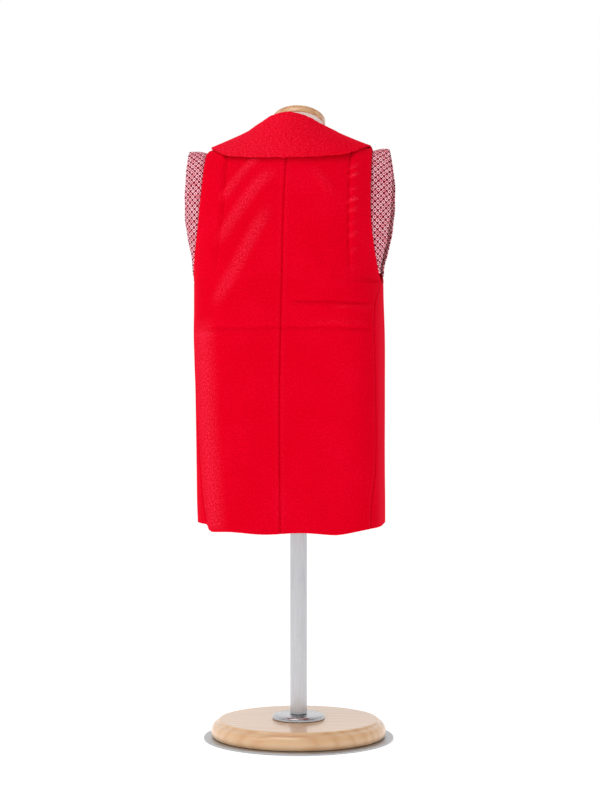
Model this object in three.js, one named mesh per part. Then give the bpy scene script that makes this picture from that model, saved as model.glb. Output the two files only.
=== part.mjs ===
// A child's hifu vest, a sleeveless over-vest with a wide turned-down collar, on a limbless dress form.
// Millimetres, +Z up. The back of the vest faces -Y, the wearer's left is -X, and x = 0 is the vest's centre.
// The form and its round stand are centred at x = stand.x: the vest hangs a little to one side of them.
import * as THREE from 'three';

const panelWall = 2;       // lined crepe, face and lining together
const bandWall = 1.8;      // the patterned strips at the armholes
const collarWall = 2.4;    // two layers of crepe, turned and pressed
const seamGap = 0.4;       // between pieces that are sewn to each other

const body = {
  hemZ: 271,
  armpitZ: 590,
  shoulderTopZ: 801,       // where the two shoulder lines would meet
  shoulderFall: 0.37,      // drop of the shoulder line for each millimetre out
  shoulderEase: 20,        // rounds the meeting of the two shoulder lines
  shoulderHalf: 107,       // centre to armhole edge on the shoulder
  shoulderPower: 2.6,
  hemWave: 1.2,
  hemWaveLength: 95,
  hemPower: 6,             // the hem's wave and rise fade upwards as this power of the level
};
// How much higher the hem hangs towards the sides of the back and across the front.
const hemRows = [
  { x: -125, back: 12.5, front: 12.5 },
  { x: -108, back: 11, front: 12 },
  { x: -100, back: 0, front: 11.5 },
  { x: 68, back: 0, front: 8 },
  { x: 95, back: 3.5, front: 7 },
  { x: 125, back: 7, front: 7 },
];
// Sections of the hanging cloth by height: half widths to its left and right side, how square each side is
// (2 is an ellipse), and where each side seam lies on the back.
const girthRows = [
  { z: 271, left: 120, right: 120.5, leftPower: 2.6, rightPower: 5, leftSeam: 99, rightSeam: 110 },
  { z: 300, left: 121, right: 120.5, leftPower: 2.7, rightPower: 5, leftSeam: 105, rightSeam: 111 },
  { z: 350, left: 121.5, right: 120, leftPower: 2.8, rightPower: 5, leftSeam: 110, rightSeam: 115 },
  { z: 450, left: 123, right: 120, leftPower: 2.8, rightPower: 5, leftSeam: 118, rightSeam: 115.5 },
  { z: 530, left: 125, right: 120, leftPower: 2.8, rightPower: 4.6, leftSeam: 124, rightSeam: 114 },
  { z: 562, left: 125, right: 119.5, leftPower: 2.8, rightPower: 3.8, leftSeam: 124.9, rightSeam: 114 },
  { z: 590, left: 125, right: 119, leftPower: 2.8, rightPower: 3.2, leftSeam: 125, rightSeam: 119 },
  { z: 690, left: 125, right: 119, leftPower: 2.8, rightPower: 2.8, leftSeam: 125, rightSeam: 119 },
  { z: 760, left: 125, right: 119, leftPower: 2.8, rightPower: 2.8, leftSeam: 125, rightSeam: 119 },
];
// Half depth of the same sections, and where the back seam hangs.
const depthRows = [
  { z: 271, halfDepth: 83, seamX: -3 },
  { z: 300, halfDepth: 83.5, seamX: -3.3 },
  { z: 350, halfDepth: 84.5, seamX: -3.6 },
  { z: 450, halfDepth: 86, seamX: -3.6 },
  { z: 530, halfDepth: 85, seamX: -2.4 },
  { z: 562, halfDepth: 84.5, seamX: -1.7 },
  { z: 590, halfDepth: 84, seamX: -1 },
  { z: 690, halfDepth: 84, seamX: 0.6 },
  { z: 760, halfDepth: 84, seamX: 2.2 },
];
// Centre to armhole edge, in even steps of height from the armpit to the shoulder.
const armholeRows = [
  { left: 125, right: 119 },
  { left: 120.5, right: 113 },
  { left: 114.5, right: 108.5 },
  { left: 110.8, right: 107 },
  { left: 108.3, right: 107 },
  { left: 107, right: 107 },
];
const neck = { x: 4, half: 54, back: 46, frontZ: 699, openPower: 0.8 };
const front = { seamX: 25, overlapX: 45, lift: 2.7, rampFrom: 62, rampTo: 50, tuckedUnder: 0.01 };
const tuck = { height: 2.2, roll: 6, endZ: 580, fadeHeight: 110 };
const tuckRows = [
  { side: -1, topX: 77, lowX: 91 },
  { side: 1, topX: 82, lowX: 84 },
];
const creaseRows = [
  { z: 530, depth: 1.1, half: 5, fromX: -118, toX: 118 },
  { z: 563, depth: 1.1, half: 5, fromX: 8, toX: 112 },
];
const collar = { clear: 3.8, standGap: 0.7, standFoot: 0.4, frontGap: 1.2, backShare: 0.4, sections: 26 };
// Where each section's points lie: shares of the fall from the neck seam, then how the fold rounds off.
const collarFold = {
  shares: [1, 0.78, 0.56, 0.34, 0.14],
  aim: 0.12,
  topIn: 1,
  underIn: 0.6,
  underDrop: 0.8,
  innerDrop: 2.2,
};
// The collar's outer edge and stand, in even steps from the centre back round to the front end.
const collarRows = [
  { edgeX: 0, edgeTurn: -45.9, stand: 26, upright: 1 },
  { edgeX: 26, edgeTurn: -43.7, stand: 21.4, upright: 1 },
  { edgeX: 52, edgeTurn: -39.1, stand: 11, upright: 1 },
  { edgeX: 80, edgeTurn: -30.2, stand: 4.5, upright: 1 },
  { edgeX: 100, edgeTurn: -9, stand: 3, upright: 0.9 },
  { edgeX: 103, edgeTurn: 25, stand: 4, upright: 0.6 },
  { edgeX: 102, edgeTurn: 45, stand: 5, upright: 0.3 },
  { edgeX: 98, edgeTurn: 60, stand: 5.5, upright: 0.1 },
  { edgeX: 84, edgeTurn: 70.5, stand: 5.5, upright: 0 },
  { edgeX: 48, edgeTurn: 75.5, stand: 5, upright: 0 },
  { edgeX: 1.2, edgeTurn: 77, stand: 5, upright: 0 },
];
// How far each armhole strip stands out, by height above the armpit as a share of the armhole.
const stripRows = [
  { level: 0.06, left: 1.5, right: 4 },
  { level: 0.13, left: 6, right: 12 },
  { level: 0.24, left: 13, right: 20 },
  { level: 0.4, left: 21, right: 26 },
  { level: 0.6, left: 25.5, right: 30 },
  { level: 0.85, left: 26, right: 28 },
  { level: 1, left: 24, right: 21 },
];
const strip = { flip: 0.55, flare: 0.6, flareLevel: 0.45, topGap: 0.6, bow: 1.5 };

const stand = {
  x: 10,
  plateRadius: 123,
  plateThick: 3,
  diskRadius: 113.4,
  poleRadius: 11,
  flangeRadius: 34,
  flangeThick: 6,
  flangeSlope: 3,
  flangeSlopeDrop: 2.5,
  touch: 0.3,
};
// The turned edge of the wooden base: a bullnose, a groove above it and a small rim.
const diskRows = [
  { inset: 3, height: 0 },
  { inset: 0.8, height: 2.5 },
  { inset: 0, height: 7 },
  { inset: 1, height: 12 },
  { inset: 3.6, height: 16.4 },
  { inset: 6, height: 18 },
  { inset: 8.2, height: 18.6 },
  { inset: 9.4, height: 21 },
  { inset: 10.4, height: 22 },
];
const form = {
  bottomZ: 330,
  power: 2.3,              // how square the body's sections are, and the shoulders'
  shoulderPower: 2.2,
  restGap: 0.6,
  neckTopZ: 795.3,
  capRadius: 34.4,
  capThick: 10.5,
  capRound: 2.6,
  capBevel: 0.8,
  capTilt: 25,
};
// Sections of the form below its shoulders.
const formRows = [
  { z: 330, halfWidth: 56, halfDepth: 42 },
  { z: 333, halfWidth: 70, halfDepth: 54 },
  { z: 343, halfWidth: 81, halfDepth: 63 },
  { z: 370, halfWidth: 87, halfDepth: 68 },
  { z: 420, halfWidth: 87, halfDepth: 67 },
  { z: 480, halfWidth: 79, halfDepth: 61 },
  { z: 545, halfWidth: 80, halfDepth: 63 },
  { z: 610, halfWidth: 85, halfDepth: 67 },
  { z: 665, halfWidth: 88, halfDepth: 65 },
  { z: 710, halfWidth: 90, halfDepth: 58 },
  { z: 735, halfWidth: 89, halfDepth: 50 },
  { z: 749, halfWidth: 86, halfDepth: 46 },
];
// Sections of its shoulders, whose heights follow the vest's shoulder line.
const formShoulderRows = [
  { halfWidth: 76, halfDepth: 43, drop: 3 },
  { halfWidth: 64, halfDepth: 41.5, drop: 0 },
  { halfWidth: 52, halfDepth: 39, drop: 1.2 },
  { halfWidth: 42, halfDepth: 36.5, drop: 3 },
];
const formNeckRows = [
  { z: 781.5, radius: 35.5, tilt: 8 },
  { z: 787, radius: 34.4, tilt: 16 },
  { z: 795.3, radius: 34, tilt: 25 },
];

// Rows and columns of the meshes. Upper rows of a panel crowd towards the shoulder line.
const mesh = {
  lowerRows: 8,
  turnZ: [574, 582],       // more rows where the right side seam turns away from the armpit
  rowsApart: 0.02,
  upperRows: 13,
  upperFirst: 0.07,
  upperCrowding: 2.1,
  backColumns: 12,
  frontColumns: 11,
  bandColumns: 6,
  bandRows: 12,
  stripColumns: 3,
  formPoints: 28,
  capPoints: 32,
  poleSides: 20,
  flangeSides: 32,
  baseSides: 48,
};

const sRgb = (hex, roughness, metalness = 0) => {
  return new THREE.MeshStandardMaterial({ color: hex, roughness, metalness });
};
const redCrepe = sRgb(0xea0526, 0.75);
const dappledCrepe = sRgb(0xc9798a, 0.8);
const formCover = sRgb(0xf0e8e0, 0.85);
const beech = sRgb(0xe0b88e, 0.4);
const steel = sRgb(0xbcbcbe, 0.35, 0.9);

const clamp01 = (t) => Math.min(1, Math.max(0, t));
const smooth = (t) => clamp01(t) ** 2 * (3 - 2 * clamp01(t));
const radians = THREE.MathUtils.degToRad;
const vector = (x, y, z) => new THREE.Vector3(x, y, z);
const steps = (count) => Array.from({ length: count + 1 }, (_, i) => i / count);

// Straight-line reading of one column of a table whose rows are sorted by another.
function readRows(rows, by, at, column) {
  const next = rows.findIndex((row) => row[by] > at);
  if (next === 0) return rows[0][column];
  if (next < 0) return rows[rows.length - 1][column];
  const [a, b] = [rows[next - 1], rows[next]];
  return THREE.MathUtils.lerp(a[column], b[column], (at - a[by]) / (b[by] - a[by]));
}

// Smooth reading of one column of a table whose rows are evenly spaced from 0 to 1.
function readSpline(rows, share, column) {
  const place = clamp01(share) * (rows.length - 1);
  const i = Math.min(rows.length - 2, Math.floor(place));
  const at = (k) => rows[Math.min(rows.length - 1, Math.max(0, k))][column];
  const t = place - i;
  const slopeA = (at(i + 1) - at(i - 1)) / 2;
  const slopeB = (at(i + 2) - at(i)) / 2;
  const rise = at(i + 1) - at(i);
  const bend = 3 * rise - 2 * slopeA - slopeB;
  return at(i) + t * slopeA + t ** 2 * bend + t ** 3 * (slopeA + slopeB - 2 * rise);
}

// The worn shape of the vest. side is -1 on the left and 1 on the right. level is -1 at the hem, 0 at the
// armpit and 1 on the shoulder line. around is 0 at the centre back, 1 at the side and 2 at the centre front.
const shoulderZ = (x) => body.shoulderTopZ - body.shoulderFall * Math.hypot(x, body.shoulderEase);
const roundedTo = (share, power) => (1 - clamp01(share) ** power) ** (1 / power);
const handOf = (side) => (side < 0 ? 'left' : 'right');
const girthAt = (z, side, column = '') => readRows(girthRows, 'z', z, handOf(side) + column);

// Share of the half width at a place around, and the place that has a share. Places crowd towards the side.
const crowding = 1.4;
const shareAt = (around) => Math.sin((Math.PI / 2) * around) ** (1 / crowding);
const aroundAt = (share) => (2 / Math.PI) * Math.asin(clamp01(share) ** crowding);

function wornZ(x, level, facing) {
  if (level > 0) return body.armpitZ + (shoulderZ(x) - body.armpitZ) * level;
  const wave = body.hemWave * Math.sin((2 * Math.PI * x) / body.hemWaveLength);
  const rise = readRows(hemRows, 'x', x, facing < 0 ? 'back' : 'front');
  return body.armpitZ + level * (body.armpitZ - body.hemZ) + (wave + rise) * (-level) ** body.hemPower;
}

const sectionDepth = (z, side, share) => {
  return readRows(depthRows, 'z', z, 'halfDepth') * roundedTo(share, girthAt(z, side, 'Power'));
};

// A place past either centre line counts on from the other side.
function wornPoint(ownSide, level, ownAround) {
  const past = ownAround < 0 || ownAround > 2;
  const side = past ? -ownSide : ownSide;
  const around = ownAround > 2 ? 4 - ownAround : Math.abs(ownAround);
  const facing = around < 1 ? -1 : 1;
  const share = shareAt(around);
  const nominalZ = body.armpitZ + level * (body.armpitZ - body.hemZ);
  const z = wornZ(side * girthAt(nominalZ, side) * share, level, facing);
  const depth = sectionDepth(z, side, share) * roundedTo(Math.max(level, 0), body.shoulderPower);
  return vector(side * girthAt(z, side) * share, facing * depth, z);
}

// Its outward direction at the same place.
function wornNormal(side, level, around) {
  const step = 0.01;
  const up = wornPoint(side, Math.min(level + step, 1), around).sub(wornPoint(side, level - step, around));
  const along = wornPoint(side, level, around + step).sub(wornPoint(side, level, around - step));
  const normal = along.cross(up).multiplyScalar(side);
  if (level >= 1) normal.y = 0;
  return normal.normalize();
}

// The place around of a point that is x from the vest's centre line, and that point. ownSide's places go on
// past the centre line.
function aroundOf(x, level, facing, ownSide = Math.sign(x) || 1) {
  const side = Math.sign(x) || ownSide;
  const around = aroundAt(Math.abs(x) / girthAt(wornZ(x, level, facing), side));
  if (facing < 0) return side === ownSide ? around : -around;
  return side === ownSide ? 2 - around : 2 + around;
}

const wornPointAt = (x, level, facing) => wornPoint(Math.sign(x) || 1, level, aroundOf(x, level, facing));

// Half width of the cloth at the armhole, and the place around of its side seam or armhole edge.
const armholeX = (level, side) => readSpline(armholeRows, level, handOf(side));

function sideEdge(level, side, facing) {
  if (level > 0) return aroundOf(side * armholeX(level, side), level, facing);
  const z = body.armpitZ + level * (body.armpitZ - body.hemZ);
  return aroundAt(girthAt(z, side, 'Seam') / girthAt(z, side));
}

const backSeamX = (z) => readRows(depthRows, 'z', z, 'seamX');

// The level at which the back panels end: the shoulder line, or the round of the neck.
function backTopLevel(x) {
  const out = Math.abs(x - neck.x) / neck.half;
  if (out >= 1) return 1;
  const neckY = neck.back * Math.sqrt(1 - out ** 2);
  const side = Math.sign(x) || 1;
  const depth = sectionDepth(body.shoulderTopZ, side, Math.abs(x) / girthAt(body.shoulderTopZ, side));
  return roundedTo(neckY / depth, body.shoulderPower);
}

const neckFrontLevel = (neck.frontZ - body.armpitZ) / (shoulderZ(0) - body.armpitZ);

// Width of the open front neck on one side at a level, and the level where it has a width.
const neckHalf = (side) => neck.half + side * neck.x;
const neckOpen = (level) => clamp01((level - neckFrontLevel) / (1 - neckFrontLevel)) ** neck.openPower;
const frontNeckX = (level, side) => neckHalf(side) * neckOpen(level);
const frontNeckLevel = (x, side) => {
  return THREE.MathUtils.lerp(neckFrontLevel, 1, (x / neckHalf(side)) ** (1 / neck.openPower));
};

// Levels from the hem to the armpit, with rows on both edges and the floor of each crease that is asked for.
function lowerLevels(creases) {
  const toLevel = (z) => (z - body.armpitZ) / (body.armpitZ - body.hemZ);
  const even = steps(mesh.lowerRows).map((t) => t - 1);
  const creaseZ = creases.flatMap((crease) => [-1, 0, 1].map((k) => crease.z + k * crease.half));
  const wanted = [...creaseZ, ...mesh.turnZ].map(toLevel);
  const apart = even.filter((level) => wanted.every((w) => Math.abs(w - level) > mesh.rowsApart));
  return [...apart, ...wanted].sort((a, b) => a - b);
}

// Levels from just above the armpit to the shoulder line, which is 1.
const upperLevels = [
  mesh.upperFirst,
  ...steps(mesh.upperRows).slice(1).map((t) => 1 - (1 - t) ** mesh.upperCrowding),
];

// A turned-in tuck on each shoulder: the strip outside its line stands above the panel.
function tuckRise(point) {
  const row = tuckRows[point.x < 0 ? 0 : 1];
  const height = (point.z - tuck.endZ) / tuck.fadeHeight;
  const lineX = THREE.MathUtils.lerp(row.lowX, row.topX, clamp01(height));
  return tuck.height * smooth(height) * smooth((Math.abs(point.x) - lineX) / tuck.roll);
}

function creaseFall(point, creases) {
  return creases.reduce((fall, crease) => {
    const inside = point.x > crease.fromX && point.x < crease.toX;
    return fall + (inside ? crease.depth * smooth(1 - Math.abs(point.z - crease.z) / crease.half) : 0);
  }, 0);
}

// Grids of points and normals from rows of places, each [level, around].
const surfaceOf = (places, side) => ({
  points: places.map((row) => row.map(([level, around]) => wornPoint(side, level, around))),
  normals: places.map((row) => row.map(([level, around]) => wornNormal(side, level, around))),
});

const moved = ({ points, normals }, amount) =>
  points.map((row, i) => row.map((point, j) => point.clone().addScaledVector(normals[i][j], amount(point))));

// One closed skin from an outer and an inner grid of the same size, joined round the rim.
function wallGeometry(outer, inner) {
  const [rows, columns] = [outer.length, outer[0].length];
  const points = [...outer.flat(), ...inner.flat()];
  const half = rows * columns;
  const at = (i, j) => i * columns + j;
  const quads = [];
  for (let i = 0; i + 1 < rows; i++) {
    for (let j = 0; j + 1 < columns; j++) {
      quads.push([at(i, j), at(i, j + 1), at(i + 1, j + 1), at(i + 1, j)]);
      quads.push([at(i, j), at(i + 1, j), at(i + 1, j + 1), at(i, j + 1)].map((k) => k + half));
    }
  }
  const rim = [
    ...steps(columns - 1).map((_, j) => at(0, j)),
    ...steps(rows - 1).map((_, i) => at(i, columns - 1)).slice(1),
    ...steps(columns - 1).map((_, j) => at(rows - 1, columns - 1 - j)).slice(1),
    ...steps(rows - 1).map((_, i) => at(rows - 1 - i, 0)).slice(1, -1),
  ];
  rim.forEach((a, k) => {
    const b = rim[(k + 1) % rim.length];
    quads.push([b, a, a + half, b + half]);
  });
  return skinOf(points, quads);
}

// A closed skin through rings of the same number of points, with a flat fan over each end.
function loftGeometry(rings) {
  const count = rings[0].length;
  const centre = (ring) => ring.reduce((sum, point) => sum.add(point), vector(0, 0, 0)).divideScalar(count);
  const points = [...rings.flat(), centre(rings[0]), centre(rings[rings.length - 1])];
  const [bottom, top] = [points.length - 2, points.length - 1];
  const lastRing = (rings.length - 1) * count;
  const quads = [];
  for (let j = 0; j < count; j++) {
    const next = (j + 1) % count;
    for (let i = 0; i + 1 < rings.length; i++) {
      quads.push([i * count + j, i * count + next, (i + 1) * count + next, (i + 1) * count + j]);
    }
    quads.push([bottom, next, j], [top, lastRing + j, lastRing + next]);
  }
  return skinOf(points, quads);
}

// Triangles from faces of three or four corners, turned round if they enclose a negative volume.
function skinOf(points, faces) {
  const triangles = faces.flatMap(([a, b, c, d]) => (d === undefined ? [[a, b, c]] : [[a, b, c], [a, c, d]]));
  const volume = triangles.reduce((sum, [a, b, c]) => {
    return sum + points[a].dot(points[b].clone().cross(points[c]));
  }, 0);
  const index = volume < 0 ? triangles.map(([a, b, c]) => [a, c, b]) : triangles;
  const geometry = new THREE.BufferGeometry().setFromPoints(points);
  return geometry.setIndex(index.flat());
}

// Draws a panel's seam edges back from the seams: both long edges along the rows, and the top row, where it
// meets the shoulder line, to its own side.
function drawnBack(grid, facing) {
  const towards = (point, next) => point.clone().lerp(next, seamGap / 2 / point.distanceTo(next));
  return grid.map((row, i) => {
    const last = row.length - 1;
    const edged = row.map((point, j) => {
      if (j === 0) return towards(point, row[1]);
      return j === last ? towards(point, row[last - 1]) : point;
    });
    if (i < grid.length - 1) return edged;
    return edged.map((point) => point.clone().setY(facing * Math.max(facing * point.y, seamGap / 2)));
  });
}

const spread = (count, from, to) => steps(count).map((t) => THREE.MathUtils.lerp(from, to, t));

function panelOf(places, side, facing, rise, creases = []) {
  const surface = surfaceOf(places, side);
  const outer = moved(surface, (point) => rise(point) + tuckRise(point) - creaseFall(point, creases));
  const inner = moved(surface, (point) => rise(point) - panelWall);
  return { places, surface, geometry: wallGeometry(drawnBack(outer, facing), drawnBack(inner, facing)) };
}

const creasesOf = (side) => creaseRows.filter((crease) => side > 0 || crease.fromX < 0);

// A back panel from the centre seam to the side seam and armhole, from the hem to the neck and shoulder.
function backPanel(side) {
  const creases = creasesOf(side);
  const across = (level) => {
    const seam = aroundOf(backSeamX(wornZ(0, level, -1)), level, -1, side);
    return spread(mesh.backColumns, seam, sideEdge(level, side, -1));
  };
  const low = lowerLevels(creases).map((level) => across(level).map((around) => [level, around]));
  const high = upperLevels.map((share) =>
    across(share).map((around) => [share * backTopLevel(wornPoint(side, share, around).x), around]),
  );
  return panelOf([...low, ...high], side, -1, () => 0, creases);
}

// The left front lies over the right one, from just before the free edge underneath.
const overLift = (x) => front.lift * smooth((x + front.rampFrom) / (front.rampFrom - front.rampTo));

// A front panel from the side seam and armhole to its seam with the front band.
function frontPanel(side) {
  const places = [...lowerLevels(creasesOf(side)), ...upperLevels].map((level) => {
    const innerX = Math.max(front.seamX, frontNeckX(level, side));
    const across = spread(mesh.frontColumns, sideEdge(level, side, 1), aroundOf(side * innerX, level, 1));
    return across.map((around) => [level, around]);
  });
  return panelOf(places, side, 1, (point) => (side < 0 && point.y > 0 ? overLift(point.x) : 0));
}

// The broad band that each front is lengthened with, from its seam across the centre to its free edge.
function frontBand(side) {
  const acrossX = spread(mesh.bandColumns, front.seamX, -front.overlapX);
  const topLevel = (x) => (x > 0 ? frontNeckLevel(x, side) : neckFrontLevel) - front.tuckedUnder;
  const places = steps(mesh.bandRows).map((t) =>
    acrossX.map((x) => {
      const level = THREE.MathUtils.lerp(-1, topLevel(x), t);
      return [level, aroundOf(side * x, level, 1, side)];
    }),
  );
  const lift = side < 0 ? front.lift : 0;
  const surface = surfaceOf(places, side);
  const skin = (height) => drawnBack(moved(surface, () => height), 1);
  return wallGeometry(skin(lift), skin(lift - panelWall));
}

// A strip of dappled crepe that stands out round the armhole, from the back of the armpit over the shoulder.
function armholeStrip(side, back, frontSide) {
  const height = shoulderZ(body.shoulderHalf) - body.armpitZ;
  const stationsOf = ({ points, normals }, edge, beside) =>
    points
      .map((row, i) => ({ point: row.at(edge), before: row.at(beside), normal: normals[i].at(edge) }))
      .map((s) => ({ ...s, level: (s.point.z - body.armpitZ) / height }))
      .filter((s) => s.level > stripRows[0].level);
  const up = stationsOf(back.surface, -1, -2);
  const down = stationsOf(frontSide.surface, 0, 1).reverse();
  const stations = [...up.slice(0, -1), ...down];
  const acrossShares = steps(mesh.stripColumns);
  const rows = stations.map((s, i) => {
    const [last, next] = [stations[Math.max(0, i - 1)], stations[Math.min(stations.length - 1, i + 1)]];
    const along = next.point.clone().sub(last.point).normalize();
    const topness = Math.max(0, s.normal.z);
    const out = s.point.clone().sub(s.before).normalize();
    out.add(vector(side * strip.flare * smooth(s.level / strip.flareLevel), 0, strip.flip * topness));
    out.addScaledVector(along, -out.dot(along)).normalize();
    const normal = out.clone().cross(along).normalize();
    if (normal.dot(s.normal) < 0) normal.negate();
    const start = s.point.clone().addScaledVector(s.normal, -panelWall / 2);
    start.addScaledVector(out, seamGap + strip.topGap * topness);
    const width = readRows(stripRows, 'level', s.level, handOf(side));
    return acrossShares.map((u) => {
      const bow = strip.bow * Math.sin(Math.PI * u);
      return { point: start.clone().addScaledVector(out, u * width).addScaledVector(normal, bow), normal };
    });
  });
  const shifted = (amount) => {
    return rows.map((row) => row.map(({ point, normal }) => point.clone().addScaledVector(normal, amount)));
  };
  return wallGeometry(shifted(bandWall / 2), shifted(-bandWall / 2));
}

// A point over the shoulders. turn is the angle over the shoulder line, in degrees: negative at the back.
function yokePoint(x, turn) {
  const level = Math.cos(radians(turn)) ** (2 / body.shoulderPower);
  return wornPointAt(x, level, turn < 0 ? -1 : 1);
}

function yokeNormal(x, turn) {
  const [dx, dTurn] = [1, 1.5];
  const along = yokePoint(x + dx, turn).sub(yokePoint(x - dx, turn));
  const over = yokePoint(x, turn + dTurn).sub(yokePoint(x, turn - dTurn));
  const normal = along.cross(over).normalize();
  return normal.dot(yokePoint(x, turn).sub(vector(0, 0, body.armpitZ))) < 0 ? normal.negate() : normal;
}

const turnOfLevel = (level) => {
  return THREE.MathUtils.radToDeg(Math.acos(clamp01(level) ** (body.shoulderPower / 2)));
};

// Where the collar is sewn on: share 0 is the centre back, 1 the bottom of the front neck opening.
function neckSeam(share, side) {
  if (share <= collar.backShare) {
    const x = neck.x + side * neck.half * Math.sin((Math.PI / 2) * (share / collar.backShare));
    return { x, turn: -turnOfLevel(backTopLevel(x)) };
  }
  const turn = turnOfLevel(neckFrontLevel) * ((share - collar.backShare) / (1 - collar.backShare));
  const level = Math.cos(radians(turn)) ** (2 / body.shoulderPower);
  return { x: side * Math.max(frontNeckX(level, side), collar.frontGap), turn };
}

// One section of the collar, as matching points on its upper and under skin: from the outer edge up the
// fall to the fold, then down the stand inside the neck.
function collarSection(share, side) {
  const seam = neckSeam(share, side);
  const [edgeX, edgeTurn, standHeight, upright] = ['edgeX', 'edgeTurn', 'stand', 'upright'].map((column) =>
    readSpline(collarRows, share, column),
  );
  const place = (f) => [
    THREE.MathUtils.lerp(seam.x, side * edgeX, f),
    THREE.MathUtils.lerp(seam.turn, edgeTurn, f),
  ];
  const base = (f) => yokePoint(...place(f));
  const up = (f) => {
    const normal = yokeNormal(...place(f));
    return normal.lerp(vector(0, 0, 1), upright * (1 - f)).normalize();
  };
  const inward = base(0).sub(base(collarFold.aim)).normalize();
  inward.addScaledVector(up(0), -inward.dot(up(0))).normalize();
  const fall = collarFold.shares.map((f) => {
    const under = collar.clear + standHeight * (1 - f) ** 2;
    return [base(f).addScaledVector(up(f), under + collarWall), base(f).addScaledVector(up(f), under)];
  });
  const beside = (gap, height) => base(0).addScaledVector(inward, gap).addScaledVector(up(0), height);
  const crown = collar.clear + standHeight;
  const [near, far] = [collar.standGap, collar.standGap + collarWall];
  const standPoints = [
    [
      beside((near + far) / 2 - collarFold.topIn, crown + collarWall),
      beside(near - collarFold.underIn, crown - collarFold.underDrop),
    ],
    [beside(far, crown), beside(near, crown - collarFold.innerDrop)],
    [beside(far, collar.standFoot), beside(near, collar.standFoot)],
  ];
  return [...fall, ...standPoints];
}

function collarGeometry() {
  const shares = steps(collar.sections);
  const sections = [
    ...shares.slice(1).reverse().map((share) => collarSection(share, -1)),
    ...shares.map((share) => collarSection(share, 1)),
  ];
  const skin = (k) => sections.map((section) => section.map((pair) => pair[k]));
  return wallGeometry(skin(0), skin(1));
}

// A level or forward-tilted ring of the form, its back edge raised by the tilt.
function formRing({ z, halfWidth, halfDepth, tilt = 0, power = form.power }, count = mesh.formPoints) {
  return Array.from({ length: count }, (_, k) => {
    const angle = (2 * Math.PI * k) / count;
    const [c, s] = [Math.cos(angle), Math.sin(angle)];
    const x = halfWidth * Math.sign(c) * Math.abs(c) ** (2 / power);
    const y = halfDepth * Math.sign(s) * Math.abs(s) ** (2 / power);
    return vector(stand.x + x, y * Math.cos(radians(tilt)), z - y * Math.sin(radians(tilt)));
  });
}

const roundSection = (radius) => ({ halfWidth: radius, halfDepth: radius, power: 2 });

// Height of the form where the vest's shoulder rests on its nearer side.
function restZ(halfWidth) {
  const slope = Math.hypot(1, body.shoulderFall);
  return shoulderZ(stand.x + halfWidth) - (panelWall + form.restGap) * slope;
}

function torsoGeometry() {
  const shoulders = formShoulderRows.map((row) => {
    return { ...row, z: restZ(row.halfWidth) - row.drop, power: form.shoulderPower };
  });
  const neckRings = formNeckRows.map((row) => ({ ...row, ...roundSection(row.radius) }));
  return loftGeometry([...formRows, ...shoulders, ...neckRings].map((row) => formRing(row)));
}

function capGeometry() {
  const bottom = form.neckTopZ + stand.touch;
  const quarterMid = form.capRound * (1 - Math.SQRT1_2);
  const levels = [
    { radius: form.capRadius - form.capBevel, height: 0 },
    { radius: form.capRadius, height: form.capBevel },
    { radius: form.capRadius, height: form.capThick - form.capRound },
    { radius: form.capRadius - quarterMid, height: form.capThick - quarterMid },
    { radius: form.capRadius - form.capRound, height: form.capThick },
  ];
  const rings = levels.map(({ radius, height }) => {
    const ring = formRing({ z: 0, tilt: form.capTilt, ...roundSection(radius) }, mesh.capPoints);
    const axis = vector(0, Math.sin(radians(form.capTilt)), Math.cos(radians(form.capTilt)));
    return ring.map((point) => point.addScaledVector(axis, height).add(vector(0, 0, bottom)));
  });
  return loftGeometry(rings);
}

// A turned piece from radius and height pairs, from the axis round to the axis again.
function turned(profile, segments) {
  const points = profile.map(([radius, z]) => new THREE.Vector2(radius, z));
  return new THREE.LatheGeometry(points, segments).rotateX(Math.PI / 2).translate(stand.x, 0, 0);
}

const diskLowZ = stand.plateThick + stand.touch;
const diskTopZ = diskLowZ + diskRows[diskRows.length - 1].height;
const flangeLowZ = diskTopZ + stand.touch;
const flangeTopZ = flangeLowZ + stand.flangeThick;

const cylinderProfile = (radius, lowZ, highZ) => [[0, lowZ], [radius, lowZ], [radius, highZ], [0, highZ]];
const poleProfile = cylinderProfile(stand.poleRadius, flangeTopZ + stand.touch, form.bottomZ - stand.touch);
const plateProfile = cylinderProfile(stand.plateRadius, 0, stand.plateThick);
const diskProfile = [
  [0, diskLowZ],
  ...diskRows.map(({ inset, height }) => [stand.diskRadius - inset, diskLowZ + height]),
  [0, diskTopZ],
];
const flangeProfile = [
  [0, flangeLowZ],
  [stand.flangeRadius, flangeLowZ],
  [stand.flangeRadius, flangeTopZ - stand.flangeSlopeDrop],
  [stand.flangeRadius - stand.flangeSlope, flangeTopZ],
  [0, flangeTopZ],
];

const backLeft = backPanel(-1);
const backRight = backPanel(1);
const frontLeft = frontPanel(-1);
const frontRight = frontPanel(1);

const pieces = [
  ['back_left', backLeft.geometry, redCrepe],
  ['back_right', backRight.geometry, redCrepe],
  ['front_left', frontLeft.geometry, redCrepe],
  ['front_right', frontRight.geometry, redCrepe],
  ['front_band_left', frontBand(-1), redCrepe],
  ['front_band_right', frontBand(1), redCrepe],
  ['collar', collarGeometry(), redCrepe],
  ['armhole_strip_left', armholeStrip(-1, backLeft, frontLeft), dappledCrepe],
  ['armhole_strip_right', armholeStrip(1, backRight, frontRight), dappledCrepe],
  ['form_torso', torsoGeometry(), formCover],
  ['form_neck_cap', capGeometry(), beech],
  ['stand_pole', turned(poleProfile, mesh.poleSides), steel],
  ['stand_flange', turned(flangeProfile, mesh.flangeSides), steel],
  ['stand_base', turned(diskProfile, mesh.baseSides), beech],
  ['stand_plate', turned(plateProfile, mesh.baseSides), steel],
];

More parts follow.
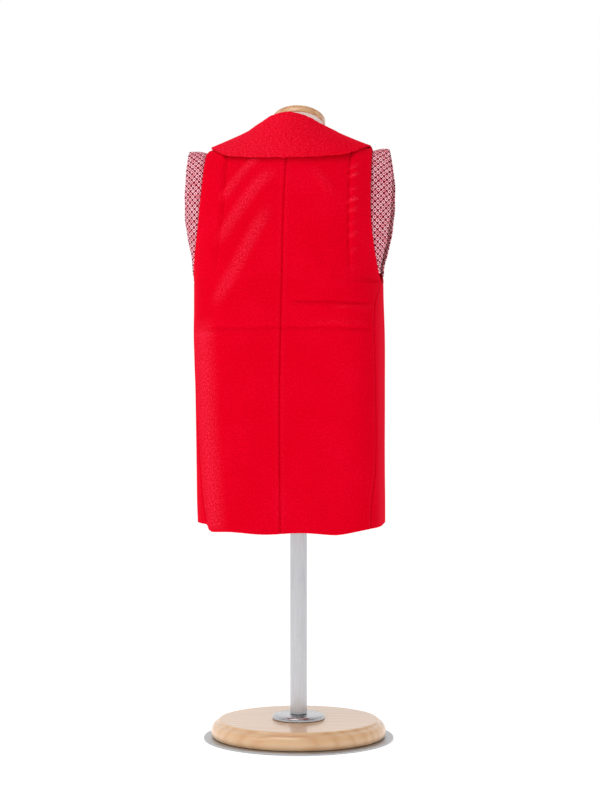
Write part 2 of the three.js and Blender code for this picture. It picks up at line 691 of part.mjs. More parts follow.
const vestOnForm = new THREE.Group();
for (const [name, geometry, material] of pieces) {
  const piece = new THREE.Mesh(geometry, material);
  piece.name = name;
  vestOnForm.add(piece);
}

export default vestOnForm;
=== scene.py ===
"""A child's hifu vest on its dress form and stand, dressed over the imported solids.

The back of the vest faces -Y, the wearer's left is -X and x = 0 is the vest's centre. Sizes are in
millimetres, meshes are made in metres.
"""

import logging
import math
from bisect import bisect_right
from dataclasses import dataclass, replace
from enum import Enum, IntEnum
from typing import Any, Callable, Optional, Sequence

import bpy
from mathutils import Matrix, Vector


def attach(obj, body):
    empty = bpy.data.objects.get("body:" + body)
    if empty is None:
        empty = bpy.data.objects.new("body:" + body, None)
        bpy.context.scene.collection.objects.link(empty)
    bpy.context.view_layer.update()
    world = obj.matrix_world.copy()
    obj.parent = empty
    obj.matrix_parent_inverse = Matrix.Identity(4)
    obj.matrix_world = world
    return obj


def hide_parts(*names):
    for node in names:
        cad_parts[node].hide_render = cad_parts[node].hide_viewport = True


MM = 0.001
LOG = logging.getLogger("vest")
IMAGE_WIDTH, IMAGE_HEIGHT = 600, 800

Grid = list[list[Vector]]
Shades = list[list[float]]
Measure = Callable[[Vector], float]

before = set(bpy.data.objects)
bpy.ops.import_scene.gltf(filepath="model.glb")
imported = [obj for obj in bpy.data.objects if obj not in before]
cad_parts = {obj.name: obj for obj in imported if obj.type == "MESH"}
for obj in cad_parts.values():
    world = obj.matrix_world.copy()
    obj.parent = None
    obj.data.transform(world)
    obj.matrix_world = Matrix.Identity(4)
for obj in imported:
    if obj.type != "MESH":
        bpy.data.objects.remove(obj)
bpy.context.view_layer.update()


class Side(IntEnum):
    """The wearer's left or right."""

    LEFT = -1
    RIGHT = 1

    @property
    def label(self) -> str:
        """Name of the side in the nodes' names."""
        return "left" if self < 0 else "right"


def side_of(x: float) -> Side:
    """Side on which a distance from the centre lies."""
    return Side.LEFT if x < 0 else Side.RIGHT


class Facing(IntEnum):
    """The back or the front of the vest."""

    BACK = -1
    FRONT = 1


class Slot(Enum):
    """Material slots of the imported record."""

    CREPE = "crepe"
    DAPPLED = "dappled_crepe"
    COVER = "form_cover"
    BEECH = "beech"
    STEEL = "steel"
    PLATE = "plate_steel"


class Held(Enum):
    """How a piece of cloth is held up."""

    HUNG = "hung"
    DRAPED = "draped"
    STRETCHED = "stretched"


def clamp01(value: float) -> float:
    """Hold a number between 0 and 1."""
    return min(1.0, max(0.0, value))


def smooth(value: float) -> float:
    """Ease from 0 to 1 with level ends."""
    t = clamp01(value)
    return t * t * (3 - 2 * t)


def blend(a: float, b: float, share: float) -> float:
    """Mix two numbers."""
    return a + (b - a) * share


def rounded_to(share: float, power: float) -> float:
    """Depth of a squared ellipse at a share of its half width."""
    return (1 - clamp01(share) ** power) ** (1 / power)


class Reading:
    """One column of a table, read smoothly between its rows."""

    def __init__(self, places: Sequence[float], values: Sequence[float], straight: bool = False) -> None:
        """Work out the slopes at the rows.

        Args:
            places: where each row stands, rising.
            values: the column's values.
            straight: True reads in straight lines from row to row.
        """
        self.places = list(places)
        self.values = list(values)
        last = len(self.places) - 1
        rates = [
            (self.values[i + 1] - self.values[i]) / (self.places[i + 1] - self.places[i]) for i in range(last)
        ]
        self.slopes = [rates[0]] + [0.0] * (last - 1) + [rates[-1]]
        for i in range(1, last):
            before, after = self.places[i] - self.places[i - 1], self.places[i + 1] - self.places[i]
            self.slopes[i] = (rates[i - 1] * after + rates[i] * before) / (before + after)
        self.rates = rates
        self.straight = straight

    def __call__(self, at: float) -> float:
        """Read the column.

        Args:
            at: the place to read.

        Returns:
            The value there, or the nearest end's.
        """
        if at <= self.places[0]:
            return self.values[0]
        if at >= self.places[-1]:
            return self.values[-1]
        i = bisect_right(self.places, at) - 1
        span = self.places[i + 1] - self.places[i]
        t = (at - self.places[i]) / span
        if self.straight:
            return blend(self.values[i], self.values[i + 1], t)
        a, b, rise = self.slopes[i] * span, self.slopes[i + 1] * span, self.rates[i] * span
        return self.values[i] + t * (a + t * ((3 * rise - 2 * a - b) + t * (a + b - 2 * rise)))


def even(count: int) -> list[float]:
    """Numbers from 0 to 1 in even steps."""
    return [i / count for i in range(count + 1)]


def column(rows: Sequence[Any], name: str) -> list[float]:
    """One column of a table of rows."""
    return [getattr(row, name) for row in rows]


def always(value: float) -> Callable[[Any], float]:
    """A measure that is the same everywhere."""
    return lambda _: value


# The worn shape


@dataclass(frozen=True)
class Girth:
    """A section of the hanging cloth: half widths, squareness and side seams of its two sides."""

    z: float
    left: float
    right: float
    left_power: float
    right_power: float
    left_seam: float
    right_seam: float
    half_depth: float
    seam_x: float


GIRTHS = (
    Girth(271, 120, 120.5, 2.6, 5, 99, 110, 83, -3),
    Girth(300, 121, 120.5, 2.7, 5, 105, 111, 83.5, -3.3),
    Girth(350, 121.5, 120, 2.8, 5, 110, 115, 84.5, -3.6),
    Girth(450, 123, 120, 2.8, 5, 118, 115.5, 86, -3.6),
    Girth(530, 125, 120, 2.8, 4.6, 124, 114, 85, -2.4),
    Girth(562, 125, 119.5, 2.8, 3.8, 124.9, 114, 84.5, -1.7),
    Girth(590, 125, 119, 2.8, 3.2, 125, 119, 84, -1),
    Girth(690, 125, 119, 2.8, 2.8, 125, 119, 84, 0.6),
    Girth(760, 125, 119, 2.8, 2.8, 125, 119, 84, 2.2),
)


@dataclass(frozen=True)
class HemRise:
    """How much higher the hem hangs at a distance from the centre."""

    x: float
    back: float
    front: float


HEM_RISES = (
    HemRise(-125, 12.5, 12.5),
    HemRise(-108, 11, 12),
    HemRise(-100.6, 10.2, 11.7),
    HemRise(-99, 5, 11.5),
    HemRise(-94, 0.6, 11.3),
    HemRise(-88, 0, 11),
    HemRise(68, 0, 8),
    HemRise(95, 3.5, 7),
    HemRise(125, 7, 7),
)


@dataclass
class WornShape:
    """The vest's form as worn.

    A level is -1 at the hem, 0 at the armpit and 1 on the shoulder line. A place around is 0 at the
    centre back, 1 at the side and 2 at the centre front.
    """

    hem_z: float = 271
    armpit_z: float = 590
    shoulder_top_z: float = 801
    shoulder_fall: float = 0.37
    shoulder_ease: float = 20
    shoulder_half: float = 107
    shoulder_power: float = 2.6
    hem_wave: float = 1.2
    hem_wave_length: float = 95
    hem_power: float = 6
    crowding: float = 1.4
    neck_x: float = 4
    neck_half: float = 54
    neck_back: float = 46
    neck_front_z: float = 699
    neck_open_power: float = 0.8
    armhole_left: tuple[float, ...] = (125, 120.5, 114.5, 110.8, 108.3, 107)
    armhole_right: tuple[float, ...] = (119, 113, 108.5, 107, 107, 107)

    def __post_init__(self) -> None:
        """Prepare the tables for reading."""
        heights = column(GIRTHS, "z")
        self.half, self.power, self.seam = (
            {side: Reading(heights, column(GIRTHS, side.label + ending)) for side in Side}
            for ending in ("", "_power", "_seam")
        )
        self.half_depth = Reading(heights, column(GIRTHS, "half_depth"))
        self.seam_x = Reading(heights, column(GIRTHS, "seam_x"))
        xs = column(HEM_RISES, "x")
        self.rise = {
            facing: Reading(xs, column(HEM_RISES, facing.name.lower()), straight=True) for facing in Facing
        }
        steps = even(len(self.armhole_left) - 1)
        self.armhole = {
            Side.LEFT: Reading(steps, self.armhole_left),
            Side.RIGHT: Reading(steps, self.armhole_right),
        }
        self.neck_front_level = (self.neck_front_z - self.armpit_z) / (self.shoulder_z(0) - self.armpit_z)

    def shoulder_z(self, x: float) -> float:
        """Height of the shoulder line."""
        return self.shoulder_top_z - self.shoulder_fall * math.hypot(x, self.shoulder_ease)

    def nominal_z(self, level: float) -> float:
        """Height of a level where the hem has no wave and the shoulder no slope."""
        return self.armpit_z + level * (self.armpit_z - self.hem_z)

    def z_at(self, x: float, level: float, facing: Facing) -> float:
        """Height of a level at a distance from the centre.

        Args:
            x: distance from the centre.
            level: the level.
            facing: back or front.

        Returns:
            The height.
        """
        if level > 0:
            return self.armpit_z + (self.shoulder_z(x) - self.armpit_z) * level
        wave = self.hem_wave * math.sin(2 * math.pi * x / self.hem_wave_length)
        return self.nominal_z(level) + (wave + self.rise[facing](x)) * (-level) ** self.hem_power

    def section_depth(self, z: float, side: Side, share: float) -> float:
        """Depth of the hanging section at a share of its half width."""
        return self.half_depth(z) * rounded_to(share, self.power[side](z))

    def point(self, own_side: Side, level: float, own_around: float) -> Vector:
        """A point of the worn shape.

        Args:
            own_side: the side whose places are counted; below 0 and past 2 they go on over the centre.
            level: the level.
            own_around: the place around.

        Returns:
            The point.
        """
        past = own_around < 0 or own_around > 2
        side = Side(-own_side) if past else own_side
        around = 4 - own_around if own_around > 2 else abs(own_around)
        facing = Facing.BACK if around < 1 else Facing.FRONT
        share = max(0.0, math.sin(math.pi / 2 * around)) ** (1 / self.crowding)
        z = self.z_at(side * self.half[side](self.nominal_z(level)) * share, level, facing)
        depth = self.section_depth(z, side, share) * rounded_to(max(level, 0), self.shoulder_power)
        return Vector((side * self.half[side](z) * share, facing * depth, z))

    def around_at(self, share: float) -> float:
        """Place around with a share of the half width."""
        return 2 / math.pi * math.asin(clamp01(share) ** self.crowding)

    def around_of(self, x: float, level: float, facing: Facing, own_side: Optional[Side] = None) -> float:
        """Place around of a point at a distance from the centre.

        Args:
            x: distance from the centre.
            level: its level.
            facing: back or front.
            own_side: the side whose places are counted, by default the point's own.

        Returns:
            The place around.
        """
        side = side_of(x) if x else own_side or Side.RIGHT
        own = own_side or side
        around = self.around_at(abs(x) / self.half[side](self.z_at(x, level, facing)))
        if facing == Facing.BACK:
            return around if side == own else -around
        return 2 - around if side == own else 2 + around

    def side_edge(self, level: float, side: Side, facing: Facing) -> float:
        """Place around of the side seam, or of the armhole edge above the armpit.

        Args:
            level: the level.
            side: left or right.
            facing: back or front.

        Returns:
            The place around.
        """
        if level > 0:
            return self.around_of(side * self.armhole[side](level), level, facing)
        z = self.nominal_z(level)
        return self.around_at(self.seam[side](z) / self.half[side](z))

    def back_top_level(self, x: float) -> float:
        """Level at which the back panels end: the shoulder line, or the round of the neck.

        Args:
            x: distance from the centre.

        Returns:
            The level.
        """
        out = abs(x - self.neck_x) / self.neck_half
        if out >= 1:
            return 1.0
        side, top = side_of(x), self.shoulder_top_z
        neck_y = self.neck_back * math.sqrt(1 - out**2)
        depth = self.section_depth(top, side, abs(x) / self.half[side](top))
        return rounded_to(neck_y / depth, self.shoulder_power)

    def neck_side(self, side: Side) -> float:
        """Half width of the neck on one side of the vest's centre."""
        return self.neck_half + side * self.neck_x

    def front_neck_x(self, level: float, side: Side) -> float:
        """Half width of the open front neck at a level."""
        open_share = (level - self.neck_front_level) / (1 - self.neck_front_level)
        return self.neck_side(side) * clamp01(open_share) ** self.neck_open_power

    def front_neck_level(self, x: float, side: Side) -> float:
        """Level at which the front neck has a half width."""
        share = (x / self.neck_side(side)) ** (1 / self.neck_open_power)
        return blend(self.neck_front_level, 1, share)

    def turn_of_level(self, level: float) -> float:
        """Angle over the shoulder line at a level, in degrees."""
        return math.degrees(math.acos(clamp01(level) ** (self.shoulder_power / 2)))

    def yoke_point(self, x: float, turn: float) -> Vector:
        """A point over the shoulders.

        Args:
            x: distance from the centre.
            turn: angle over the shoulder line, in degrees, minus at the back.

        Returns:
            The point.
        """
        level = math.cos(math.radians(turn)) ** (2 / self.shoulder_power)
        facing = Facing.BACK if turn < 0 else Facing.FRONT
        return self.point(side_of(x), level, self.around_of(x, level, facing))

    def yoke_normal(self, x: float, turn: float) -> Vector:
        """Outward direction over the shoulders.

        Args:
            x: distance from the centre.
            turn: angle over the shoulder line, in degrees.

        Returns:
            A unit vector.
        """
        dx, d_turn = 1.0, 1.5
        along = self.yoke_point(x + dx, turn) - self.yoke_point(x - dx, turn)
        over = self.yoke_point(x, turn + d_turn) - self.yoke_point(x, turn - d_turn)
        normal = along.cross(over).normalized()
        outward = self.yoke_point(x, turn) - Vector((0, 0, self.armpit_z))
        return -normal if normal.dot(outward) < 0 else normal


# Creases, tucks and soft folds, laid where the photograph has them


@dataclass(frozen=True)
class Fold:
    """A crease or soft fold along a line over the back, given as (x, z) points.

    height is above the cloth, or below it where negative; half is half its width; ease is how far
    its ends take to run out. The last number is painted shade that darkens a sharp crease, or where
    negative, a painted highlight on a ridge.
    """

    path: tuple[tuple[float, float], ...]
    height: float
    half: float
    ease: float = 20
    deepened: float = 0

    def share(self, x: float, z: float) -> float:
        """How far into the fold a point is.

        Args:
            x: distance from the centre.
            z: height.

        Returns:
            1 on the fold's line and 0 outside it.
        """
        lows = [min(p[k] for p in self.path) - self.half for k in (0, 1)]
        highs = [max(p[k] for p in self.path) + self.half for k in (0, 1)]
        if not (lows[0] < x < highs[0] and lows[1] < z < highs[1]):
            return 0.0
        nearest, where, run = self.half, 0.0, 0.0
        for (ax, az), (bx, bz) in zip(self.path, self.path[1:]):
            dx, dz = bx - ax, bz - az
            length = math.hypot(dx, dz)
            t = clamp01(((x - ax) * dx + (z - az) * dz) / length**2)
            distance = math.hypot(x - ax - t * dx, z - az - t * dz)
            if distance < nearest:
                nearest, where = distance, run + t * length
            run += length
        ends = smooth(min(where, run - where) / self.ease)
        return ends * smooth(1 - nearest / self.half)


# The last number of a fold is its painted tone: painted shade in a crease, a painted highlight on a ridge
# where negative
BACK_FOLDS = (
    Fold(((8, 563), (60, 562.5), (112, 560)), -1.8, 4.5, 14, 0.2),
    Fold(((58, 557), (90, 557), (116, 556)), 0.7, 4, 12, -0.15),
    Fold(((-122, 531), (-60, 529.5), (0, 530), (60, 530), (114, 528)), -1.5, 4.5, 16, 0.12),
    Fold(((-118, 524), (-104, 522), (-86, 522.5)), 0.9, 4, 10, -0.3),
    Fold(((24, 536), (60, 537), (112, 535)), 0.6, 5, 16, -0.12),
    Fold(((-30, 750), (-46, 738), (-64, 716), (-82, 690)), 2.6, 9, 16, -0.5),
    Fold(((-8, 736), (-34, 712), (-60, 676), (-88, 632)), 3.0, 12, 30, -0.5),
    Fold(((-14, 690), (-34, 656), (-62, 604), (-94, 552)), 3.0, 13, 36, -0.5),
    Fold(((-22, 722), (-46, 690), (-72, 656)), -1.6, 9, 24),
    Fold(((-20, 672), (-48, 622), (-78, 576)), -1.6, 10, 30),
    Fold(((30, 740), (50, 716), (66, 690)), 1.0, 11, 24, -0.15),
    Fold(((20, 640), (52, 600), (84, 572)), 0.8, 14, 30),
    Fold(((-106, 548), (-105, 520), (-101, 430), (-95, 340), (-89, 262)), 1.4, 23, 24, -0.62),
    Fold(((-64, 500), (-62, 430), (-56, 340)), -1.0, 12, 60),
    Fold(((96, 500), (98, 420), (94, 330)), 0.7, 12, 60),
    Fold(((-42, 420), (-40, 350), (-44, 268)), 0.8, 18, 50),
    Fold(((36, 420), (40, 350), (36, 268)), 0.8, 22, 50),
)


@dataclass(frozen=True)
class Tuck:
    """The turned-in tuck near an armhole: the strip outside its line stands above the panel.

    top_x and low_x place its stitched line at the shoulder and at the height where it starts to run
    out. valley is the dip along the line. The puckers are short slanted swellings just outside it.
    """

    top_x: float
    low_x: float
    height: float = 2.2
    roll: float = 6
    end_z: float = 580
    fade: float = 110
    valley: float = 1.1
    valley_half: float = 4
    puckers: tuple[tuple[float, float], ...] = ()    # height and strength of each
    pucker_out: float = 4
    pucker_height: float = 2.4
    pucker_long: float = 9
    pucker_half: float = 4.4
    pucker_slant: float = 0.4
    # painted highlight on the puckers
    pucker_open: float = 0.7
    # painted shade along the stitched line
    deepened: float = 0.25
    line_out: float = -0.5
    line_half: float = 2.2

    def rise(self, x: float, z: float) -> float:
        """Height of the tuck at a point.

        Args:
            x: distance from the centre, without its sign.
            z: height.

        Returns:
            How far the cloth stands out there.
        """
        height = (z - self.end_z) / self.fade
        if height <= 0:
            return 0.0
        line = blend(self.low_x, self.top_x, clamp01(height))
        out = x - line
        rise = self.height * smooth(height) * smooth(out / self.roll)
        rise -= self.valley * smooth(height) * smooth(1 - abs(out) / self.valley_half)
        return rise + self.pucker_height * self.puckered(out, z)

    def puckered(self, out: float, z: float) -> float:
        """How far into one of the puckers beside its stitched line a point is.

        Args:
            out: distance outside the line.
            z: height.

        Returns:
            1 at a pucker's middle and 0 outside them all.
        """
        deepest = 0.0
        for pucker_z, share in self.puckers:
            along = (out - self.pucker_out) / self.pucker_long
            up = (z - pucker_z - self.pucker_slant * out) / self.pucker_half
            deepest = max(deepest, share * max(0.0, 1 - along * along - up * up) ** 2)
        return deepest

    def shade(self, x: float, z: float) -> float:
        """Painted shade along the tuck's stitched line, and painted highlights on its puckers.

        Args:
            x: distance from the centre, without its sign.
            z: height.

        Returns:
            The painted tone: painted shade where positive, painted highlight where negative.
        """
        height = (z - self.end_z) / self.fade
        out = x - blend(self.low_x, self.top_x, clamp01(height))
        line = self.deepened * smooth(height) * smooth(1 - abs(out - self.line_out) / self.line_half)
        return line - self.pucker_open * self.puckered(out, z)


TUCKS = {
    Side.LEFT: Tuck(top_x=77, low_x=91),
    Side.RIGHT: Tuck(
        top_x=82, low_x=84, end_z=566, fade=80,
        puckers=(
            (733, 0.5), (722, 0.8), (704, 0.4), (690, 1.0), (677, 0.7), (660, 0.3), (646, 0.6),
            (626, 0.4), (604, 0.25),
        ),
    ),
}


def tuck_at(point: Vector) -> Tuck:
    """The tuck of a point's side, which is plain on the front, where it isn't seen."""
    tuck = TUCKS[side_of(point.x)]
    return replace(tuck, puckers=()) if point.y > 0 else tuck


def tuck_rise(point: Vector) -> float:
    """Height of the tuck at a point of either side."""
    return tuck_at(point).rise(abs(point.x), point.z)


def tuck_shade(point: Vector) -> float:
    """Painted shade along the tuck's line and painted highlights on its puckers, on either side."""
    return tuck_at(point).shade(abs(point.x), point.z)


def back_relief(point: Vector) -> float:
    """All that is creased, tucked or folded into the back panels at a point."""
    return tuck_rise(point) + sum(fold.height * fold.share(point.x, point.z) for fold in BACK_FOLDS)


def back_shade(point: Vector) -> float:
    """Painted shade in the back's creases and along its tucks, and painted highlights on its ridges and
    puckers.
    """
    creases = sum(fold.deepened * fold.share(point.x, point.z) for fold in BACK_FOLDS if fold.deepened)
    return tuck_shade(point) + creases


# Making meshes


def deselect_all() -> None:
    """Leave nothing selected, in object mode."""
    if bpy.context.object and bpy.context.object.mode != "OBJECT":
        bpy.ops.object.mode_set(mode="OBJECT")
    bpy.ops.object.select_all(action="DESELECT")


def pick(piece: bpy.types.Object) -> None:
    """Select one object alone and make it active.

    Args:
        piece: the object.
    """
    deselect_all()
    piece.select_set(True)
    bpy.context.view_layer.objects.active = piece


def apply_modifier(piece: bpy.types.Object, kind: str, **settings: Any) -> None:
    """Add a modifier and apply it.

    Args:
        piece: the object.
        kind: the modifier's type.
        **settings: its settings.
    """
    pick(piece)
    modifier = piece.modifiers.new(kind.title(), kind)
    for name, value in settings.items():
        setattr(modifier, name, value)
    bpy.ops.object.modifier_apply(modifier=modifier.name)


def lengths_along(points: Sequence[Vector]) -> list[float]:
    """Distance of each point along the line through them.

    Args:
        points: the points in order.

    Returns:
        A distance for each, starting at 0.
    """
    run = [0.0]
    for a, b in zip(points, points[1:]):
        run.append(run[-1] + (b - a).length)
    return run


def resampled(points: Sequence[Vector], wanted: Sequence[float]) -> list[Vector]:
    """Points at wanted distances along a line.

    Args:
        points: the line.
        wanted: the distances, rising.

    Returns:
        One point for each distance.
    """
    run = lengths_along(points)
    made = []
    for distance in wanted:
        i = min(len(run) - 2, max(0, bisect_right(run, distance) - 1))
        span = run[i + 1] - run[i]
        made.append(points[i].lerp(points[i + 1], (distance - run[i]) / span if span else 0.0))
    return made


EDGE_STEPS = (0, 0.5, 1.1, 1.9, 3)


def cloth_steps(length: float, gap: float, count: int) -> list[float]:
    """Distances across a piece of cloth, close together beside its two edges.

    Args:
        length: from edge to edge.
        gap: how far each edge is drawn back from its seam.
        count: how many even steps lie between the close ones.

    Returns:
        The distances.
    """
    near = [gap + step for step in EDGE_STEPS]
    middle = [blend(near[-1], length - near[-1], t) for t in even(count)]
    return near[:-1] + middle + [length - d for d in reversed(near[:-1])]


def grid_normals(points: Grid) -> Grid:
    """Normals of a grid of points, from its neighbours.

    Args:
        points: the grid.

    Returns:
        A unit vector at each point.
    """
    rows, columns = len(points), len(points[0])
    normals = []
    for i, row in enumerate(points):
        up, down = points[min(rows - 1, i + 1)], points[max(0, i - 1)]
        normals.append(
            [
                (row[min(columns - 1, j + 1)] - row[max(0, j - 1)]).cross(up[j] - down[j]).normalized()
                for j in range(columns)
            ]
        )
    return normals


def faces_outward(points: Grid, normals: Grid) -> bool:
    """Whether a grid's normals point away from the vest's upright centre line.

    Args:
        points: the grid.
        normals: its normals.

    Returns:
        True where they do, judged at one point away from its edges.
    """
    i, j = len(points) // 3, len(points[0]) // 2
    normal, point = normals[i][j], points[i][j]
    return normal.x * point.x + normal.y * point.y > 0


@dataclass(frozen=True)
class Cut:
    """A piece's flat cloth, as far as it shows: greatest width and length in mm, and area in mm2."""

    width: float
    length: float
    area: float


@dataclass
class ClothSheet:
    """A piece of cloth as a thin shell: a grid of points with a wall, and how it is worn."""

    wall: float
    slot: Slot
    held: Held
    rests_on: tuple[str, ...]
    rim: float = 0.5
    rim_segments: int = 2
    rim_angle: float = 62

    def shell(
        self, node: str, points: Grid, finish: bpy.types.Material, shades: Shades
    ) -> bpy.types.Object:
        """Make the sheet's object.

        Args:
            node: the node that it stands for.
            points: the sheet's middle surface, in millimetres, its rows running up the cloth.
            finish: its material.
            shades: the painted tone at each point, from 1 for the strongest painted shade to -1 for
            the brightest painted highlight.

        Returns:
            The finished piece.
        """
        rows, columns = len(points), len(points[0])
        flat = [point * MM for row in points for point in row]
        normals = grid_normals(points)
        quads = []
        for i in range(rows - 1):
            for j in range(columns - 1):
                a = i * columns + j
                quads.append((a, a + 1, a + columns + 1, a + columns))
        if not self.outward(points, normals):
            quads = [quad[::-1] for quad in quads]
        mesh = bpy.data.meshes.new(f"{node}_cloth")
        mesh.from_pydata(flat, [], quads)
        self.lay_flat(mesh, points)
        # Painted shade and painted highlights, stored on the points for the materials to mix into the colour
        pressed = mesh.attributes.new("pressed", "FLOAT", "POINT")
        tones = [max(-1.0, min(1.0, shade)) for row in shades for shade in row]
        pressed.data.foreach_set("value", tones)
        piece = bpy.data.objects.new(f"{node}_cloth", mesh)
        bpy.context.scene.collection.objects.link(piece)
        mesh.materials.append(finish)
        apply_modifier(piece, "SOLIDIFY", thickness=self.wall * MM, offset=0.0, use_quality_normals=True)
        apply_modifier(
            piece, "BEVEL", width=self.rim * MM, segments=self.rim_segments, limit_method="ANGLE",
            angle_limit=math.radians(self.rim_angle), loop_slide=False,
        )
        pick(piece)
        bpy.ops.object.shade_smooth()
        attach(piece, "root")
        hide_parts(node)
        list(self.rests_on)
        self.report_flat(piece.name, points)
        return piece

    def report_flat(self, name: str, points: Grid) -> None:
        """Log the cloth's size and area, measured over the grid along its rows and across them.

        Args:
            name: the piece's name.
            points: the grid.
        """
        widest = max(lengths_along(row)[-1] for row in points)
        longest = max(lengths_along(line)[-1] for line in zip(*points))
        area = 0.0
        for low, high in zip(points, points[1:]):
            for a, b, c, d in zip(low, low[1:], high, high[1:]):
                area += (d - a).cross(c - b).length / 2
        LOG.info("%s: %.0f x %.0f mm flat, %.0f mm2", name, widest, longest, area)

    def outward(self, points: Grid, normals: Grid) -> bool:
        """Whether the grid's own order of points gives faces that look outwards."""
        return faces_outward(points, normals)

    def lay_flat(self, mesh: bpy.types.Mesh, points: Grid) -> None:
        """Give the mesh a UV map in metres of flat cloth.

        Args:
            mesh: the mesh, whose vertices follow the grid's order.
            points: the grid.
        """
        middle = len(points[0]) // 2
        up = lengths_along([row[middle] for row in points])
        across = []
        for row in points:
            run = lengths_along(row)
            across.append([distance - run[middle] for distance in run])
        columns = len(points[0])
        layer = mesh.uv_layers.new(name="cloth")
        for loop in mesh.loops:
            i, j = divmod(loop.vertex_index, columns)
            layer.data[loop.index].uv = (across[i][j] * MM, up[i] * MM)


@dataclass
class Garment:
    """The vest's body: its two back panels, two fronts and their bands."""

    shape: WornShape
    wall: float = 2.0
    seam_gap: float = 0.4
    spacing: float = 2.4
    samples: int = 120
    low_rows: int = 140
    high_rows: int = 104
    top_crowding: float = 2.1
    roll: float = 1.1
    roll_half: float = 2.6
    ridge: float = 0.4
    ridge_at: float = 4.2
    ridge_half: float = 2.4
    # painted shade along each seam, and a painted highlight on the ridge beside it
    seam_shade: float = 0.5
    seam_shade_half: float = 2.0
    ridge_open: float = 0.08
    front_seam_x: float = 25
    overlap_x: float = 45
    lift: float = 2.7
    ramp_from: float = 62
    ramp_to: float = 50
    tucked_under: float = 0.01
    neck_rows: int = 40
    crest_half: float = 1

    def levels(self) -> list[float]:
        """Levels of the rows from hem to armpit, and on to the shoulder line.

        Returns:
            The levels, closer together near the shoulder line.
        """
        low = [t - 1 for t in even(self.low_rows)]
        high = [1 - (1 - t) ** self.top_crowding for t in even(self.high_rows)[1:]]
        return low + high

    def woven(
        self, lines: Grid, rise: Measure, shade: Measure, facing: Facing, seams: tuple[bool, bool]
    ) -> tuple[Grid, Shades]:
        """Turn lines of the worn shape into the middle surface of a panel.

        Args:
            lines: one line of points for each row, running from one edge to the other.
            rise: what stands out from the worn shape at a point.
            shade: the painted tone at a point: painted shade where positive, painted highlight where
                negative.
            facing: back or front.
            seams: whether the first and last edges roll down into a seam.

        Returns:
            A grid of points, and the shade at each.
        """
        gap = self.seam_gap / 2
        widest = max(lengths_along(line)[-1] for line in lines)
        count = max(2, round((widest - 2 * (gap + EDGE_STEPS[-1])) / self.spacing))
        base, edges = [], []
        for line in lines:
            length = lengths_along(line)[-1]
            steps = cloth_steps(length, gap, count)
            base.append(resampled(line, steps))
            edges.append([(distance, length - distance) for distance in steps])
        normals = grid_normals(base)
        sign = 1 if faces_outward(base, normals) else -1
        made, shades = [], []
        for i, row in enumerate(base):
            new_row, new_shades = [], []
            for j, point in enumerate(row):
                normal = normals[i][j] * sign
                if i == len(base) - 1 and abs(point.y) < self.crest_half:
                    normal = Vector((normal.x, 0, normal.z)).normalized()
                height, depth = rise(point) - self.wall / 2, shade(point)
                for wanted, distance in zip(seams, edges[i][j]):
                    if wanted:
                        height -= self.roll * smooth(1 - distance / self.roll_half)
                        height += self.ridge * smooth(1 - abs(distance - self.ridge_at) / self.ridge_half)
                        # Painted shade in the seam's hollow, and a painted highlight on the ridge beside it
                        depth += self.seam_shade * smooth(1 - distance / self.seam_shade_half)
                        depth -= self.ridge_open * smooth(1 - abs(distance - self.ridge_at) / self.ridge_half)
                new_row.append(point + normal * height)
                new_shades.append(depth)
            made.append(new_row)
            shades.append(new_shades)
        # Back and front stop short of each other along the shoulder line
        made[-1] = [Vector((p.x, facing * max(facing * p.y, gap), p.z)) for p in made[-1]]
        return made, shades

    def line(self, side: Side, first: float, last: float, level_at: Callable[[float], float]) -> list[Vector]:
        """A line of points over the worn shape.

        Args:
            side: the side whose places are counted.
            first: place around of its first end.
            last: place around of its last end.
            level_at: the level at each place around.

        Returns:
            The points.
        """
        arounds = [blend(first, last, t) for t in even(self.samples)]
        return [self.shape.point(side, level_at(around), around) for around in arounds]

    def back_panel(self, side: Side) -> tuple[Grid, Shades]:
        """The back panel of one side, from the centre seam to its side seam and armhole.

        Args:
            side: left or right.

        Returns:
            Its grid of points, and the shade at each.
        """
        shape = self.shape
        lines = []
        for level in self.levels():
            seam_x = shape.seam_x(shape.z_at(0, level, Facing.BACK))
            first = shape.around_of(seam_x, level, Facing.BACK, side)
            last = shape.side_edge(level, side, Facing.BACK)

            def lowered(around: float, level: float = level) -> float:
                """The row's level, lowered where the neck is cut out."""
                return level * shape.back_top_level(shape.point(side, level, around).x)

            lines.append(self.line(side, first, last, lowered if level > 0 else always(level)))
        return self.woven(lines, back_relief, back_shade, Facing.BACK, (True, True))

    def over_lift(self, point: Vector) -> float:
        """How far the left front stands out to lie over the right one.

        Args:
            point: a point of the left front.

        Returns:
            The height, 0 on its part that wraps round to the back.
        """
        if point.y < 0:
            return 0.0
        return self.lift * smooth((point.x + self.ramp_from) / (self.ramp_from - self.ramp_to))

    def front_panel(self, side: Side) -> tuple[Grid, Shades]:
        """The front panel of one side, from its side seam and armhole to the front band.

        Args:
            side: left or right.

        Returns:
            Its grid of points, and the shade at each.
        """
        shape = self.shape
        lines = []
        for level in self.levels():
            inner = max(self.front_seam_x, shape.front_neck_x(level, side))
            first = shape.side_edge(level, side, Facing.FRONT)
            last = shape.around_of(side * inner, level, Facing.FRONT)
            lines.append(self.line(side, first, last, always(level)))
        lift = self.over_lift if side == Side.LEFT else always(0.0)

        def rise(point: Vector) -> float:
            """What stands out from the worn shape at a point."""
            return lift(point) + tuck_rise(point)

        return self.woven(lines, rise, tuck_shade, Facing.FRONT, (True, True))

